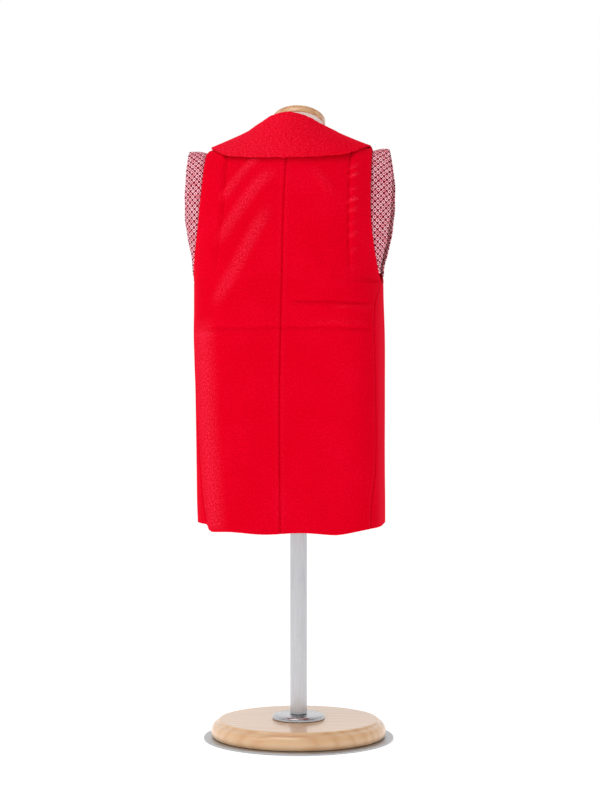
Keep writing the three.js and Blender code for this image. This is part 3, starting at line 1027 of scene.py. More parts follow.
    def front_band(self, side: Side) -> tuple[Grid, Shades]:
        """The broad band of one front, from its seam across the centre to the free edge.

        Args:
            side: left or right.

        Returns:
            Its grid of points, and the shade at each.
        """
        shape = self.shape
        lines = []
        for t in even(self.low_rows + self.neck_rows):
            line = []
            for s in even(self.samples // 2):
                x = blend(self.front_seam_x, -self.overlap_x, s)
                top = shape.front_neck_level(x, side) if x > 0 else shape.neck_front_level
                level = blend(-1, top - self.tucked_under, t)
                line.append(shape.point(side, level, shape.around_of(side * x, level, Facing.FRONT, side)))
            lines.append(line)
        lift = self.lift if side == Side.LEFT else 0.0
        return self.woven(lines, always(lift), always(0.0), Facing.FRONT, (True, False))

    def build(self, crepe: bpy.types.Material) -> list[bpy.types.Object]:
        """Make the six pieces of the body.

        Args:
            crepe: their material.

        Returns:
            The pieces.
        """
        made = []
        for side in Side:
            front = f"front_{side.label}"
            for node, panel, rests_on in (
                (f"back_{side.label}", self.back_panel, "form_torso"),
                (front, self.front_panel, "form_torso"),
                (f"front_band_{side.label}", self.front_band, front),
            ):
                points, shades = panel(side)
                cloth = ClothSheet(self.wall, Slot.CREPE, Held.HUNG, (rests_on,))
                made.append(cloth.shell(node, points, crepe, shades))
        return made


@dataclass(frozen=True)
class CollarRow:
    """A section of the collar, in even steps from the centre back to the front end."""

    edge_x: float
    edge_turn: float
    stand: float
    upright: float


COLLAR_ROWS = (
    CollarRow(0, -45.9, 26, 1),
    CollarRow(26, -43.7, 21.4, 1),
    CollarRow(52, -39.1, 11, 1),
    CollarRow(80, -30.2, 4.5, 1),
    CollarRow(100, -9, 3, 0.9),
    CollarRow(103, 25, 4, 0.6),
    CollarRow(102, 45, 5, 0.3),
    CollarRow(98, 60, 5.5, 0.1),
    CollarRow(84, 70.5, 5.5, 0),
    CollarRow(48, 75.5, 5, 0),
    CollarRow(1.2, 77, 5, 0),
)


@dataclass
class Collar:
    """The wide turned-down collar: its fall outside, the fold at its top and the stand inside the neck."""

    shape: WornShape
    wall: float = 2.4
    rim: float = 0.7
    clear: float = 3.8
    stand_gap: float = 0.7
    stand_foot: float = 0.4
    front_gap: float = 1.2
    back_share: float = 0.4
    sections: int = 110
    across: int = 34
    aim: float = 0.12
    fall_shares: tuple[float, ...] = (1, 0.78, 0.56, 0.34, 0.14)
    top_in: float = 1
    under_in: float = 0.6
    under_drop: float = 0.8
    inner_drop: float = 2.2
    # painted light on the fall, brighter on the left, where the key lamp stands
    open_left: float = 0.45
    open_right: float = 0.12
    open_half: float = 90

    def __post_init__(self) -> None:
        """Prepare the table for reading."""
        steps = even(len(COLLAR_ROWS) - 1)
        self.edge_x, self.edge_turn, self.stand, self.upright = (
            Reading(steps, column(COLLAR_ROWS, name)) for name in ("edge_x", "edge_turn", "stand", "upright")
        )

    def neck_seam(self, share: float, side: Side) -> tuple[float, float]:
        """Where the collar is sewn on.

        Args:
            share: 0 at the centre back, 1 at the bottom of the front neck.
            side: left or right.

        Returns:
            Distance from the vest's centre and angle over the shoulder line.
        """
        shape = self.shape
        if share <= self.back_share:
            x = shape.neck_x + side * shape.neck_half * math.sin(math.pi / 2 * share / self.back_share)
            return x, -shape.turn_of_level(shape.back_top_level(x))
        on = (share - self.back_share) / (1 - self.back_share)
        turn = shape.turn_of_level(shape.neck_front_level) * on
        level = math.cos(math.radians(turn)) ** (2 / shape.shoulder_power)
        return side * max(shape.front_neck_x(level, side), self.front_gap), turn

    def section(self, share: float, side: Side) -> list[Vector]:
        """One section of the collar's middle surface, from the outer edge over the fold and down the stand.

        Args:
            share: 0 at the centre back, 1 at the front end.
            side: left or right.

        Returns:
            Evenly spaced points.
        """
        shape = self.shape
        seam_x, seam_turn = self.neck_seam(share, side)
        edge_x, edge_turn = side * self.edge_x(share), self.edge_turn(share)
        stand, upright = self.stand(share), self.upright(share)

        def place(f: float) -> tuple[float, float]:
            """Place at a share of the fall."""
            return blend(seam_x, edge_x, f), blend(seam_turn, edge_turn, f)

        def up(f: float) -> Vector:
            """Direction in which the collar stands off there."""
            normal = shape.yoke_normal(*place(f))
            return normal.lerp(Vector((0, 0, 1)), upright * (1 - f)).normalized()

        foot, foot_up = shape.yoke_point(*place(0)), up(0)
        inward = (foot - shape.yoke_point(*place(self.aim))).normalized()
        inward = (inward - foot_up * inward.dot(foot_up)).normalized()
        points = []
        for f in self.fall_shares:
            under = self.clear + stand * (1 - f) ** 2
            points.append(shape.yoke_point(*place(f)) + up(f) * (under + self.wall / 2))
        crown, near, far = self.clear + stand, self.stand_gap, self.stand_gap + self.wall
        middle = (near + far) / 2
        for over, high, under, low in (
            (middle - self.top_in, crown + self.wall, near - self.under_in, crown - self.under_drop),
            (far, crown, near, crown - self.inner_drop),
            (far, self.stand_foot, near, self.stand_foot),
        ):
            points.append(foot + inward * ((over + under) / 2) + foot_up * ((high + low) / 2))
        return self.spun(points)

    def spun(self, points: list[Vector]) -> list[Vector]:
        """Draw a smooth line through a section's points.

        Args:
            points: the points.

        Returns:
            Points on the line, in even steps.
        """
        run = lengths_along(points)
        axes = [Reading(run, [p[k] for p in points]) for k in range(3)]
        dense = [Vector([axis(run[-1] * t) for axis in axes]) for t in even(self.across * 4)]
        length = lengths_along(dense)[-1]
        return resampled(dense, [length * t for t in even(self.across)])

    def build(self, crepe: bpy.types.Material) -> bpy.types.Object:
        """Make the collar.

        Args:
            crepe: its material.

        Returns:
            The piece.
        """
        shares = even(self.sections)
        grid = [self.section(share, Side.LEFT) for share in reversed(shares[1:])]
        grid += [self.section(share, Side.RIGHT) for share in shares]
        panels = ("back_left", "back_right", "front_left", "front_right")
        cloth = CollarSheet(self.wall, Slot.CREPE, Held.DRAPED, panels, self.rim)
        shades = [[-self.openness(point) for point in row] for row in grid]
        return cloth.shell("collar", grid, crepe, shades)

    def openness(self, point: Vector) -> float:
        """Painted light on the fall, strongest on the left, towards the key lamp."""
        across = (point.x + self.open_half) / (2 * self.open_half)
        return blend(self.open_left, self.open_right, smooth(across))


class CollarSheet(ClothSheet):
    """The collar's cloth, whose rows run across it."""

    def outward(self, points: Grid, normals: Grid) -> bool:
        """Whether the fall's faces look up, judged near its outer edge at the centre back."""
        return normals[len(points) // 2][2].z > 0


@dataclass(frozen=True)
class StripRow:
    """How far the armhole strips stand out at a share of the armhole's height."""

    level: float
    left: float
    right: float


STRIP_ROWS = (
    StripRow(0.06, 1.5, 4),
    StripRow(0.13, 6, 12),
    StripRow(0.24, 13, 20),
    StripRow(0.4, 21, 26),
    StripRow(0.6, 25.5, 30),
    StripRow(0.85, 26, 28),
    StripRow(1, 24, 21),
)


@dataclass
class ArmholeStrip:
    """A strip of tie-dyed crepe that stands out round an armhole, over the shoulder from armpit to armpit."""

    shape: WornShape
    side: Side
    wall: float = 1.8
    rim: float = 0.6
    panel_wall: float = 2.0
    seam_gap: float = 0.4
    flip: float = 0.55
    flare: float = 0.6
    flare_level: float = 0.45
    top_gap: float = 0.6
    bow: float = 1.5
    beside: float = 0.085
    rows: int = 90
    across: int = 12
    flutter: float = 0.5
    flutter_length: float = 34
    flutter_width: float = 26
    probe: float = 0.004
    # painted shade along the strip's inner edge, beside its seam
    seam_shade: float = 0.85
    seam_shade_share: float = 0.11

    def station(self, level: float, facing: Facing) -> tuple[Vector, Vector, Vector]:
        """A place on the armhole's edge.

        Args:
            level: its level.
            facing: back or front.

        Returns:
            The point on the edge, a point beside it on the panel, and the panel's normal.
        """
        step = self.probe
        edge = self.shape.side_edge(level, self.side, facing)

        def at(level: float, around: float) -> Vector:
            """A point of the worn shape on this side."""
            return self.shape.point(self.side, level, around)

        up = at(min(level + step, 1), edge) - at(level - step, edge)
        along = at(level, edge + step) - at(level, edge - step)
        normal = along.cross(up) * self.side
        if level >= 1:
            normal.y = 0
        return at(level, edge), at(level, edge + facing * self.beside), normal.normalized()

    def stations(self) -> list[tuple[Vector, Vector, Vector]]:
        """Places along the armhole's edge, up its back and down its front.

        Returns:
            A station for each, as the method above gives it.
        """
        first = STRIP_ROWS[0].level
        levels = [first + (1 - first) * (1 - (1 - t) ** 2) for t in even(self.rows)]
        made = [self.station(level, Facing.BACK) for level in levels]
        return made + [self.station(level, Facing.FRONT) for level in reversed(levels[:-1])]

    def grid(self) -> Grid:
        """Lay the strip out from the armhole's edge.

        Returns:
            The points of its middle surface, one row across it for each station.
        """
        shape, side = self.shape, self.side
        width_at = Reading(column(STRIP_ROWS, "level"), column(STRIP_ROWS, side.label))
        height = shape.shoulder_z(shape.shoulder_half) - shape.armpit_z
        stations = self.stations()
        run = lengths_along([s[0] for s in stations])
        rows = []
        for i, (point, beside, cloth_normal) in enumerate(stations):
            before, after = stations[max(0, i - 2)][0], stations[min(len(stations) - 1, i + 2)][0]
            along = (after - before).normalized()
            level = (point.z - shape.armpit_z) / height
            topness = max(0.0, cloth_normal.z)
            out = (point - beside).normalized()
            out += Vector((side * self.flare * smooth(level / self.flare_level), 0, self.flip * topness))
            out = (out - along * out.dot(along)).normalized()
            normal = out.cross(along).normalized()
            if normal.dot(cloth_normal) < 0:
                normal.negate()
            start = point - cloth_normal * (self.panel_wall / 2)
            start += out * (self.seam_gap + self.top_gap * topness)
            width = width_at(level)
            wave = self.flutter * math.sin(2 * math.pi * run[i] / self.flutter_length)
            row = []
            for u in even(self.across):
                lift = self.bow * math.sin(math.pi * u) + wave * u * u * width / self.flutter_width
                row.append(start + out * (u * width) + normal * lift)
            rows.append(row)
        return rows

    def build(self, dappled: bpy.types.Material) -> bpy.types.Object:
        """Make the strip.

        Args:
            dappled: its material.

        Returns:
            The piece.
        """
        panels = (f"back_{self.side.label}", f"front_{self.side.label}")
        cloth = StripSheet(self.wall, Slot.DAPPLED, Held.STRETCHED, panels, self.rim)
        grid = self.grid()
        # Painted shade along the strip's inner edge
        shade = [self.seam_shade * smooth(1 - u / self.seam_shade_share) for u in even(self.across)]
        return cloth.shell(f"armhole_strip_{self.side.label}", grid, dappled, [shade] * len(grid))


class StripSheet(ClothSheet):
    """A strip's cloth, whose faces look out from the armhole's edge."""

    def outward(self, points: Grid, normals: Grid) -> bool:
        """Whether its back half's faces look backwards."""
        return normals[len(points) // 4][0].y < 0


# The dress form and its stand


@dataclass(frozen=True)
class Ring:
    """A ring of a turned or padded body: its half width, half depth and height."""

    half_width: float
    half_depth: float
    z: float
    tilt: float = 0


# A turned outline: pairs of how far in from the greatest radius and how high above the underside
Profile = tuple[tuple[float, float], ...]


def ring_stack(name: str, rings: Sequence[Ring], sides: int, centre_x: float) -> bpy.types.Object:
    """Model a closed body ring by ring: a filled circle extruded, resized and tilted in edit mode.

    Args:
        name: the piece's name.
        rings: the rings from the bottom up, in millimetres.
        sides: points in each ring.
        centre_x: where their centres stand.

    Returns:
        The piece, at the origin.
    """
    deselect_all()
    first = rings[0]
    bpy.ops.mesh.primitive_circle_add(
        vertices=sides, radius=1.0, fill_type="NGON", location=(centre_x * MM, 0, first.z * MM)
    )
    piece = bpy.context.object
    piece.name = piece.data.name = name
    bpy.ops.object.mode_set(mode="EDIT")
    bpy.ops.mesh.select_all(action="SELECT")
    bpy.ops.transform.resize(value=(first.half_width * MM, first.half_depth * MM, 1))
    last = first
    for ring in rings[1:]:
        bpy.ops.mesh.extrude_region_move()
        bpy.ops.transform.translate(value=(0, 0, (ring.z - last.z) * MM))
        if last.tilt:
            turn_about(Vector((centre_x, 0, ring.z)), last.tilt)
        bpy.ops.transform.resize(
            value=(ring.half_width / last.half_width, ring.half_depth / last.half_depth, 1)
        )
        if ring.tilt:
            turn_about(Vector((centre_x, 0, ring.z)), -ring.tilt)
        last = ring
    bpy.ops.mesh.select_all(action="SELECT")
    bpy.ops.mesh.normals_make_consistent(inside=False)
    bpy.ops.object.mode_set(mode="OBJECT")
    bpy.ops.object.transform_apply(location=True, rotation=True, scale=True)
    return piece


def turned(
    name: str, radius: float, low: float, profile: Profile, sides: int, centre_x: float
) -> bpy.types.Object:
    """Model a turned piece.

    Args:
        name: its name.
        radius: its greatest radius.
        low: height of its underside.
        profile: its outline, from the underside up.
        sides: points in each ring.
        centre_x: where its axis stands.

    Returns:
        The piece, at the origin.
    """
    rings = [Ring(radius - inset, radius - inset, low + height) for inset, height in profile]
    return ring_stack(name, rings, sides, centre_x)


def turn_about(centre: Vector, degrees: float) -> None:
    """Turn what is selected about a line from side to side.

    Args:
        centre: a point of that line, in millimetres.
        degrees: the angle; plus raises the front. With no window the operator turns the other way.
    """
    bpy.ops.transform.rotate(value=-math.radians(degrees), orient_axis="X", center_override=centre * MM)


def smooth_by_angle(piece: bpy.types.Object, degrees: float) -> None:
    """Shade a piece smooth, with edges sharper than an angle left sharp."""
    pick(piece)
    bpy.ops.object.shade_smooth_by_angle(angle=math.radians(degrees))


def dress(piece: bpy.types.Object, node: str, slot: Slot, finish: bpy.types.Material) -> bpy.types.Object:
    """Give a rigid piece its finish and its place in the model.

    Args:
        piece: the piece.
        node: the node that it stands for.
        slot: its material slot; not used.
        finish: its material.

    Returns:
        The piece.
    """
    piece.data.materials.clear()
    piece.data.materials.append(finish)
    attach(piece, "root")
    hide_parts(node)
    return piece


FORM_RINGS = (
    Ring(56, 42, 330), Ring(70, 54, 333), Ring(81, 63, 343), Ring(87, 68, 370), Ring(87, 67, 420),
    Ring(79, 61, 480), Ring(80, 63, 545), Ring(85, 67, 610), Ring(88, 65, 665), Ring(90, 58, 710),
    Ring(89, 50, 735), Ring(86, 46, 749),
)
SHOULDER_RINGS = (Ring(76, 43, 3), Ring(64, 41.5, 0), Ring(52, 39, 1.2), Ring(42, 36.5, 3))
NECK_RINGS = (Ring(35.5, 35.5, 781.5, 8), Ring(34.4, 34.4, 787, 16), Ring(34, 34, 795.3, 25))


@dataclass
class DressForm:
    """The limbless form: its covered torso and the wooden cap on its neck."""

    shape: WornShape
    centre_x: float = 10
    rest_gap: float = 0.6
    wall: float = 2.0
    sides: int = 72
    steps_between: int = 4
    shrink: float = 0.4
    sharp: float = 50
    cap_low: float = 795.6
    cap_radius: float = 34.4
    cap_tilt: float = 25
    cap_sides: int = 96
    cap_profile: Profile = (
        (0.9, 0), (0.25, 0.25), (0, 0.9), (0, 6.4), (0.25, 6.75), (0.8, 7), (0.8, 7.3), (0.25, 7.55),
        (0, 7.9), (0.35, 9.1), (1.1, 10), (2.4, 10.42), (4, 10.5),
    )

    def rest_z(self, half_width: float) -> float:
        """Height of the form where the vest's shoulder rests on it."""
        slope = math.hypot(1, self.shape.shoulder_fall)
        return self.shape.shoulder_z(self.centre_x + half_width) - (self.wall + self.rest_gap) * slope

    def rings(self) -> list[Ring]:
        """Fill in the torso's rings smoothly between the ones that are given.

        Returns:
            The rings from the bottom up.
        """
        rows = list(FORM_RINGS)
        rows += [Ring(r.half_width, r.half_depth, self.rest_z(r.half_width) - r.z) for r in SHOULDER_RINGS]
        rows += list(NECK_RINGS)
        places = list(range(len(rows)))
        names = ("half_width", "half_depth", "z", "tilt")
        readings = [Reading(places, column(rows, name)) for name in names]
        filled = []
        for t in even((len(rows) - 1) * self.steps_between):
            at = t * (len(rows) - 1)
            width, depth, z, tilt = (reading(at) for reading in readings)
            filled.append(Ring(width - self.shrink, depth - self.shrink, z, max(0.0, tilt)))
        return filled

    def build(self, cover: bpy.types.Material, beech: bpy.types.Material) -> list[bpy.types.Object]:
        """Make the torso and the neck cap.

        Args:
            cover: the torso's material.
            beech: the cap's material.

        Returns:
            The two pieces.
        """
        torso = ring_stack("form_torso_cover", self.rings(), self.sides, self.centre_x)
        smooth_by_angle(torso, self.sharp)
        cap = turned(
            "form_neck_cap_turned", self.cap_radius, self.cap_low, self.cap_profile, self.cap_sides,
            self.centre_x,
        )
        pick(cap)
        bpy.ops.object.mode_set(mode="EDIT")
        bpy.ops.mesh.select_all(action="SELECT")
        turn_about(Vector((self.centre_x, 0, self.cap_low)), -self.cap_tilt)
        bpy.ops.object.mode_set(mode="OBJECT")
        smooth_by_angle(cap, self.sharp)
        return [
            dress(torso, "form_torso", Slot.COVER, cover),
            dress(cap, "form_neck_cap", Slot.BEECH, beech),
        ]


@dataclass
class Stand:
    """The round stand: steel plate, turned wooden base, flange and pole."""

    centre_x: float = 10
    touch: float = 0.3
    sharp: float = 42
    plate_radius: float = 123
    plate_thick: float = 3
    disk_radius: float = 113.4
    disk_thick: float = 22
    disk_sides: int = 160
    flange_radius: float = 34
    flange_thick: float = 6
    flange_sides: int = 96
    pole_radius: float = 11
    pole_top: float = 329.7
    pole_edge: float = 0.4
    pole_sides: int = 64
    plate_profile: Profile = ((0.5, 0), (0, 0.5), (0, 2.4), (0.2, 2.8), (0.6, 3), (2, 3))
    disk_profile: Profile = (
        (6, 0), (3, 0), (1.6, 1), (0.8, 2.5), (0.25, 4.4), (0, 7), (0.2, 9.4), (1, 12), (2.1, 14.4),
        (3.6, 16.4), (4.6, 17.3), (6, 18), (7.4, 18.3), (8.2, 18.6), (8.7, 19.1), (9, 19.9), (9.4, 21),
        (9.9, 21.6), (10.4, 21.9), (11.5, 22), (14, 22),
    )
    flange_profile: Profile = ((0.5, 0), (0, 0.5), (0, 3.3), (0.3, 3.7), (2.6, 5.7), (3.4, 6), (19, 6))

    def build(
        self, beech: bpy.types.Material, steel: bpy.types.Material, plate_steel: bpy.types.Material
    ) -> list[bpy.types.Object]:
        """Make the four pieces of the stand.

        Args:
            beech: the base's material.
            steel: the pole's and flange's material.
            plate_steel: the plate's material.

        Returns:
            The pieces.
        """
        disk_low = self.plate_thick + self.touch
        flange_low = disk_low + self.disk_thick + self.touch
        pole_low = flange_low + self.flange_thick + self.touch
        edge, length = self.pole_edge, self.pole_top - pole_low
        pole_profile = ((edge, 0), (0, edge), (0, length - edge), (edge, length))
        made = []
        for node, made_as, slot, finish, radius, low, profile, sides in (
            ("stand_plate", "sheet", Slot.PLATE, plate_steel, self.plate_radius, 0, self.plate_profile,
             self.disk_sides),
            ("stand_base", "turned", Slot.BEECH, beech, self.disk_radius, disk_low, self.disk_profile,
             self.disk_sides),
            ("stand_flange", "plated", Slot.STEEL, steel, self.flange_radius, flange_low,
             self.flange_profile, self.flange_sides),
            ("stand_pole", "tube", Slot.STEEL, steel, self.pole_radius, pole_low, pole_profile,
             self.pole_sides),
        ):
            piece = turned(f"{node}_{made_as}", radius, low, profile, sides, self.centre_x)
            smooth_by_angle(piece, self.sharp)
            made.append(dress(piece, node, slot, finish))
        return made


# Finishes

Stops = tuple[tuple[float, str], ...]
WAVE_BAND = math.tau / 20    # a wave texture's bands repeat at this share of its unit


def linear(code: str, alpha: float = 1.0) -> tuple[float, float, float, float]:
    """Turn an sRGB hex colour to linear.

    Args:
        code: six hex digits.
        alpha: its opacity.

    Returns:
        Red, green, blue and alpha.
    """
    channels = [int(code[i : i + 2], 16) / 255 for i in (0, 2, 4)]
    made = [c / 12.92 if c <= 0.04045 else ((c + 0.055) / 1.055) ** 2.4 for c in channels]
    return made[0], made[1], made[2], alpha


def repeats(spacing: float) -> float:
    """Scale of a pattern that repeats every so many millimetres."""
    return 1 / (spacing * MM)


def add_node(
    tree: bpy.types.NodeTree, kind: str, links: dict[Any, Any], stops: Stops = (), **settings: Any
) -> bpy.types.Node:
    """Add a node with its settings and links.

    Args:
        tree: the material's nodes.
        kind: the node's type.
        links: for each input, by name or number, the socket or value that feeds it.
        stops: for a colour ramp, pairs of place and hex colour.
        **settings: the node's own settings.

    Returns:
        The node.
    """
    node = tree.nodes.new(kind)
    for name, value in settings.items():
        setattr(node, name, value)
    if stops:
        elements = node.color_ramp.elements
        while len(elements) < len(stops):
            elements.new(0.5)
        for element, (place, code) in zip(elements, stops):
            element.position, element.color = place, linear(code)
    for key, value in links.items():
        if isinstance(value, bpy.types.NodeSocket):
            tree.links.new(value, node.inputs[key])
        else:
            node.inputs[key].default_value = value
    return node


def new_material(name: str) -> tuple[bpy.types.Material, bpy.types.NodeTree, bpy.types.Node]:
    """Make an empty material.

    Args:
        name: its name.

    Returns:
        The material, its nodes and its shader.
    """
    material = bpy.data.materials.new(name)
    material.use_nodes = True
    return material, material.node_tree, material.node_tree.nodes["Principled BSDF"]


@dataclass(frozen=True)
class RedCrepe:
    """Polyester crepe, piece-dyed red: pebbled by its over-twisted weft, so it glows softly, never glints."""

    name: str = "red crepe, woven and piece-dyed"
    # the ramp follows the pebbles' height plus faint random patches: random tone, with painted shade in the
    # pebbles' hollows and painted light on their tops
    dyed: Stops = ((0.45, "dd001b"), (0.68, "e6001e"), (0.95, "f20a30"))
    # painted highlight and painted shade colours, mixed in by the per-point tone attribute
    opened: str = "ff3a58"
    deep: str = "7c0008"
    glow: str = "ff4a62"
    grain: float = 1.8          # mm between pebbles; real ones are 0.7, too fine to show
    grain_up: float = 0.72      # they are longer up the cloth
    cloudy: float = 70          # mm between the faint cloudy patches
    cloud_share: float = 0.35
    pebble_low: float = 0.42    # noise at the hollows and the tops of the pebbles
    pebble_high: float = 0.68
    relief: float = 0.8         # mm
    bump: float = 0.26
    roughness: float = 0.7
    sheen: float = 0.3
    sheen_roughness: float = 0.4

    def build(self) -> bpy.types.Material:
        """Make the material.

        Returns:
            The material.
        """
        material, tree, shader = new_material(self.name)
        cloth = add_node(tree, "ShaderNodeUVMap", {}, uv_map="cloth").outputs["UV"]
        drawn = add_node(
            tree, "ShaderNodeMapping", {"Vector": cloth, "Scale": (1, self.grain_up, 1)}
        ).outputs["Vector"]
        pebbles = add_node(
            tree, "ShaderNodeTexNoise",
            {"Vector": drawn, "Scale": repeats(self.grain), "Detail": 2.0, "Roughness": 0.6},
        ).outputs["Fac"]
        clouds = add_node(
            tree, "ShaderNodeTexNoise",
            {"Vector": cloth, "Scale": repeats(self.cloudy), "Detail": 2.0, "Roughness": 0.5},
        ).outputs["Fac"]
        mixed = add_node(
            tree, "ShaderNodeMath", {0: clouds, 1: self.cloud_share, 2: pebbles}, operation="MULTIPLY_ADD"
        ).outputs["Value"]
        dyed = add_node(tree, "ShaderNodeValToRGB", {"Fac": mixed}, self.dyed).outputs["Color"]
        # Painted shade: where the attribute is above 0, the red is mixed towards a darker red
        pressed = add_node(tree, "ShaderNodeAttribute", {}, attribute_name="pressed").outputs["Fac"]
        darkened = add_node(
            tree, "ShaderNodeMix", {0: pressed, 6: dyed, 7: linear(self.deep)}, data_type="RGBA"
        ).outputs[2]
        # Painted highlight: where the attribute is below 0, a pink is mixed in on the pebbles' tops
        painted_light_share = add_node(
            tree, "ShaderNodeMapRange", {0: pressed, 1: 0.0, 2: -1.0, 3: 0.0, 4: 1.0}
        ).outputs["Result"]
        specks = add_node(
            tree, "ShaderNodeMapRange",
            {0: pebbles, 1: self.pebble_low, 2: self.pebble_high, 3: 0.1, 4: 1.0},
        ).outputs["Result"]
        painted_highlight_share = add_node(
            tree, "ShaderNodeMath", {0: painted_light_share, 1: specks}, operation="MULTIPLY"
        ).outputs["Value"]
        colour = add_node(
            tree, "ShaderNodeMix", {0: painted_highlight_share, 6: darkened, 7: linear(self.opened)}, data_type="RGBA"
        ).outputs[2]
        tree.links.new(colour, shader.inputs["Base Color"])
        bump = add_node(
            tree, "ShaderNodeBump", {"Height": pebbles, "Strength": self.bump, "Distance": self.relief * MM}
        ).outputs["Normal"]
        tree.links.new(bump, shader.inputs["Normal"])
        shader.inputs["Roughness"].default_value = self.roughness
        shader.inputs["Specular IOR Level"].default_value = 0.0
        shader.inputs["Sheen Weight"].default_value = self.sheen
        shader.inputs["Sheen Roughness"].default_value = self.sheen_roughness
        shader.inputs["Sheen Tint"].default_value = linear(self.glow)
        return material


@dataclass(frozen=True)
class DappledCrepe:
    """Tie-dyed crepe in the fawn-spot pattern, a net of small raised squares.

    Each bound point stayed white, with a red dot where the thread was pulled up. Lines of full dye run
    between the squares, darkest where they cross.
    """

    name: str = "tie-dyed silk crepe"
    period: float = 7.7         # mm from one white square to the next across the cloth
    wander: float = 5.88        # mm over which the rows of squares waver
    wavering: float = 1.3       # mm by which they do, at most
    uneven: float = 0.45        # how far dye has crept into some of the tied squares
    square: Stops = (
        (0.13, "9a0a30"), (0.18, "ff7a94"), (0.21, "ffe8ee"), (0.33, "ffe8ee"), (0.36, "ff7a94"),
        (0.4, "d01c40"), (0.45, "b00e32"),
    )
    crimson: str = "d01c40"
    dark: str = "5c0212"
    crossing_from: float = 0.22
    crossing_to: float = 0.34
    crept_from: float = 0.48
    crept_to: float = 0.7
    raised_from: float = 0.5
    raised_to: float = 0.15
    relief: float = 1.1         # mm
    bump: float = 0.5
    roughness: float = 0.7

    def build(self) -> bpy.types.Material:
        """Make the material.

        Returns:
            The material.
        """
        material, tree, shader = new_material(self.name)
        cloth = add_node(tree, "ShaderNodeUVMap", {}, uv_map="cloth").outputs["UV"]
        wobble = add_node(
            tree, "ShaderNodeTexNoise", {"Vector": cloth, "Scale": repeats(self.wander), "Detail": 1.0}
        ).outputs["Color"]
        shifted = add_node(
            tree, "ShaderNodeVectorMath", {0: wobble, 1: (self.wavering * MM,) * 3, 2: cloth},
            operation="MULTIPLY_ADD",
        ).outputs["Vector"]
        # A lattice turned by 45 degrees, so that the squares stand on their corners
        cells = math.sqrt(2) * repeats(self.period)
        lattice = add_node(
            tree, "ShaderNodeMapping",
            {"Vector": shifted, "Rotation": (0, 0, math.radians(45)), "Scale": (cells, cells, cells)},
        ).outputs["Vector"]
        inside = add_node(
            tree, "ShaderNodeVectorMath", {0: lattice}, operation="FRACTION"
        ).outputs["Vector"]
        centred = add_node(
            tree, "ShaderNodeVectorMath", {0: inside, 1: (0.5, 0.5, 0.5)}, operation="SUBTRACT"
        ).outputs["Vector"]
        folded = add_node(
            tree, "ShaderNodeVectorMath", {0: centred}, operation="ABSOLUTE"
        ).outputs["Vector"]
        parts = add_node(tree, "ShaderNodeSeparateXYZ", {0: folded})
        reach, low = (
            add_node(
                tree, "ShaderNodeMath", {0: parts.outputs["X"], 1: parts.outputs["Y"]}, operation=choice
            ).outputs["Value"]
            for choice in ("MAXIMUM", "MINIMUM")
        )
        clean = add_node(tree, "ShaderNodeValToRGB", {"Fac": reach}, self.square).outputs["Color"]
        tied = add_node(
            tree, "ShaderNodeTexNoise", {"Vector": cloth, "Scale": repeats(self.period), "Detail": 1.0}
        ).outputs["Fac"]
        crept = add_node(
            tree, "ShaderNodeMapRange",
            {0: tied, 1: self.crept_from, 2: self.crept_to, 3: 0.0, 4: self.uneven},
        ).outputs["Result"]
        squares = add_node(
            tree, "ShaderNodeMix", {0: crept, 6: clean, 7: linear(self.crimson)}, data_type="RGBA"
        ).outputs[2]
        crossing = add_node(
            tree, "ShaderNodeMapRange",
            {0: low, 1: self.crossing_from, 2: self.crossing_to, 3: 0.0, 4: 1.0},
        ).outputs["Result"]
        # The first mix is dye, darkest where the lines cross; the second is painted shade from the per-point
        # tone attribute
        pressed = add_node(tree, "ShaderNodeAttribute", {}, attribute_name="pressed").outputs["Fac"]
        colour = squares
        for share in (crossing, pressed):
            colour = add_node(
                tree, "ShaderNodeMix", {0: share, 6: colour, 7: linear(self.dark)}, data_type="RGBA"
            ).outputs[2]
        tree.links.new(colour, shader.inputs["Base Color"])
        height = add_node(
            tree, "ShaderNodeMapRange", {0: reach, 1: self.raised_from, 2: self.raised_to, 3: 0.0, 4: 1.0},
            interpolation_type="SMOOTHSTEP",
        ).outputs["Result"]
        bump = add_node(
            tree, "ShaderNodeBump", {"Height": height, "Strength": self.bump, "Distance": self.relief * MM}
        ).outputs["Normal"]
        tree.links.new(bump, shader.inputs["Normal"])
        shader.inputs["Roughness"].default_value = self.roughness
        shader.inputs["Specular IOR Level"].default_value = 0.05
        return material


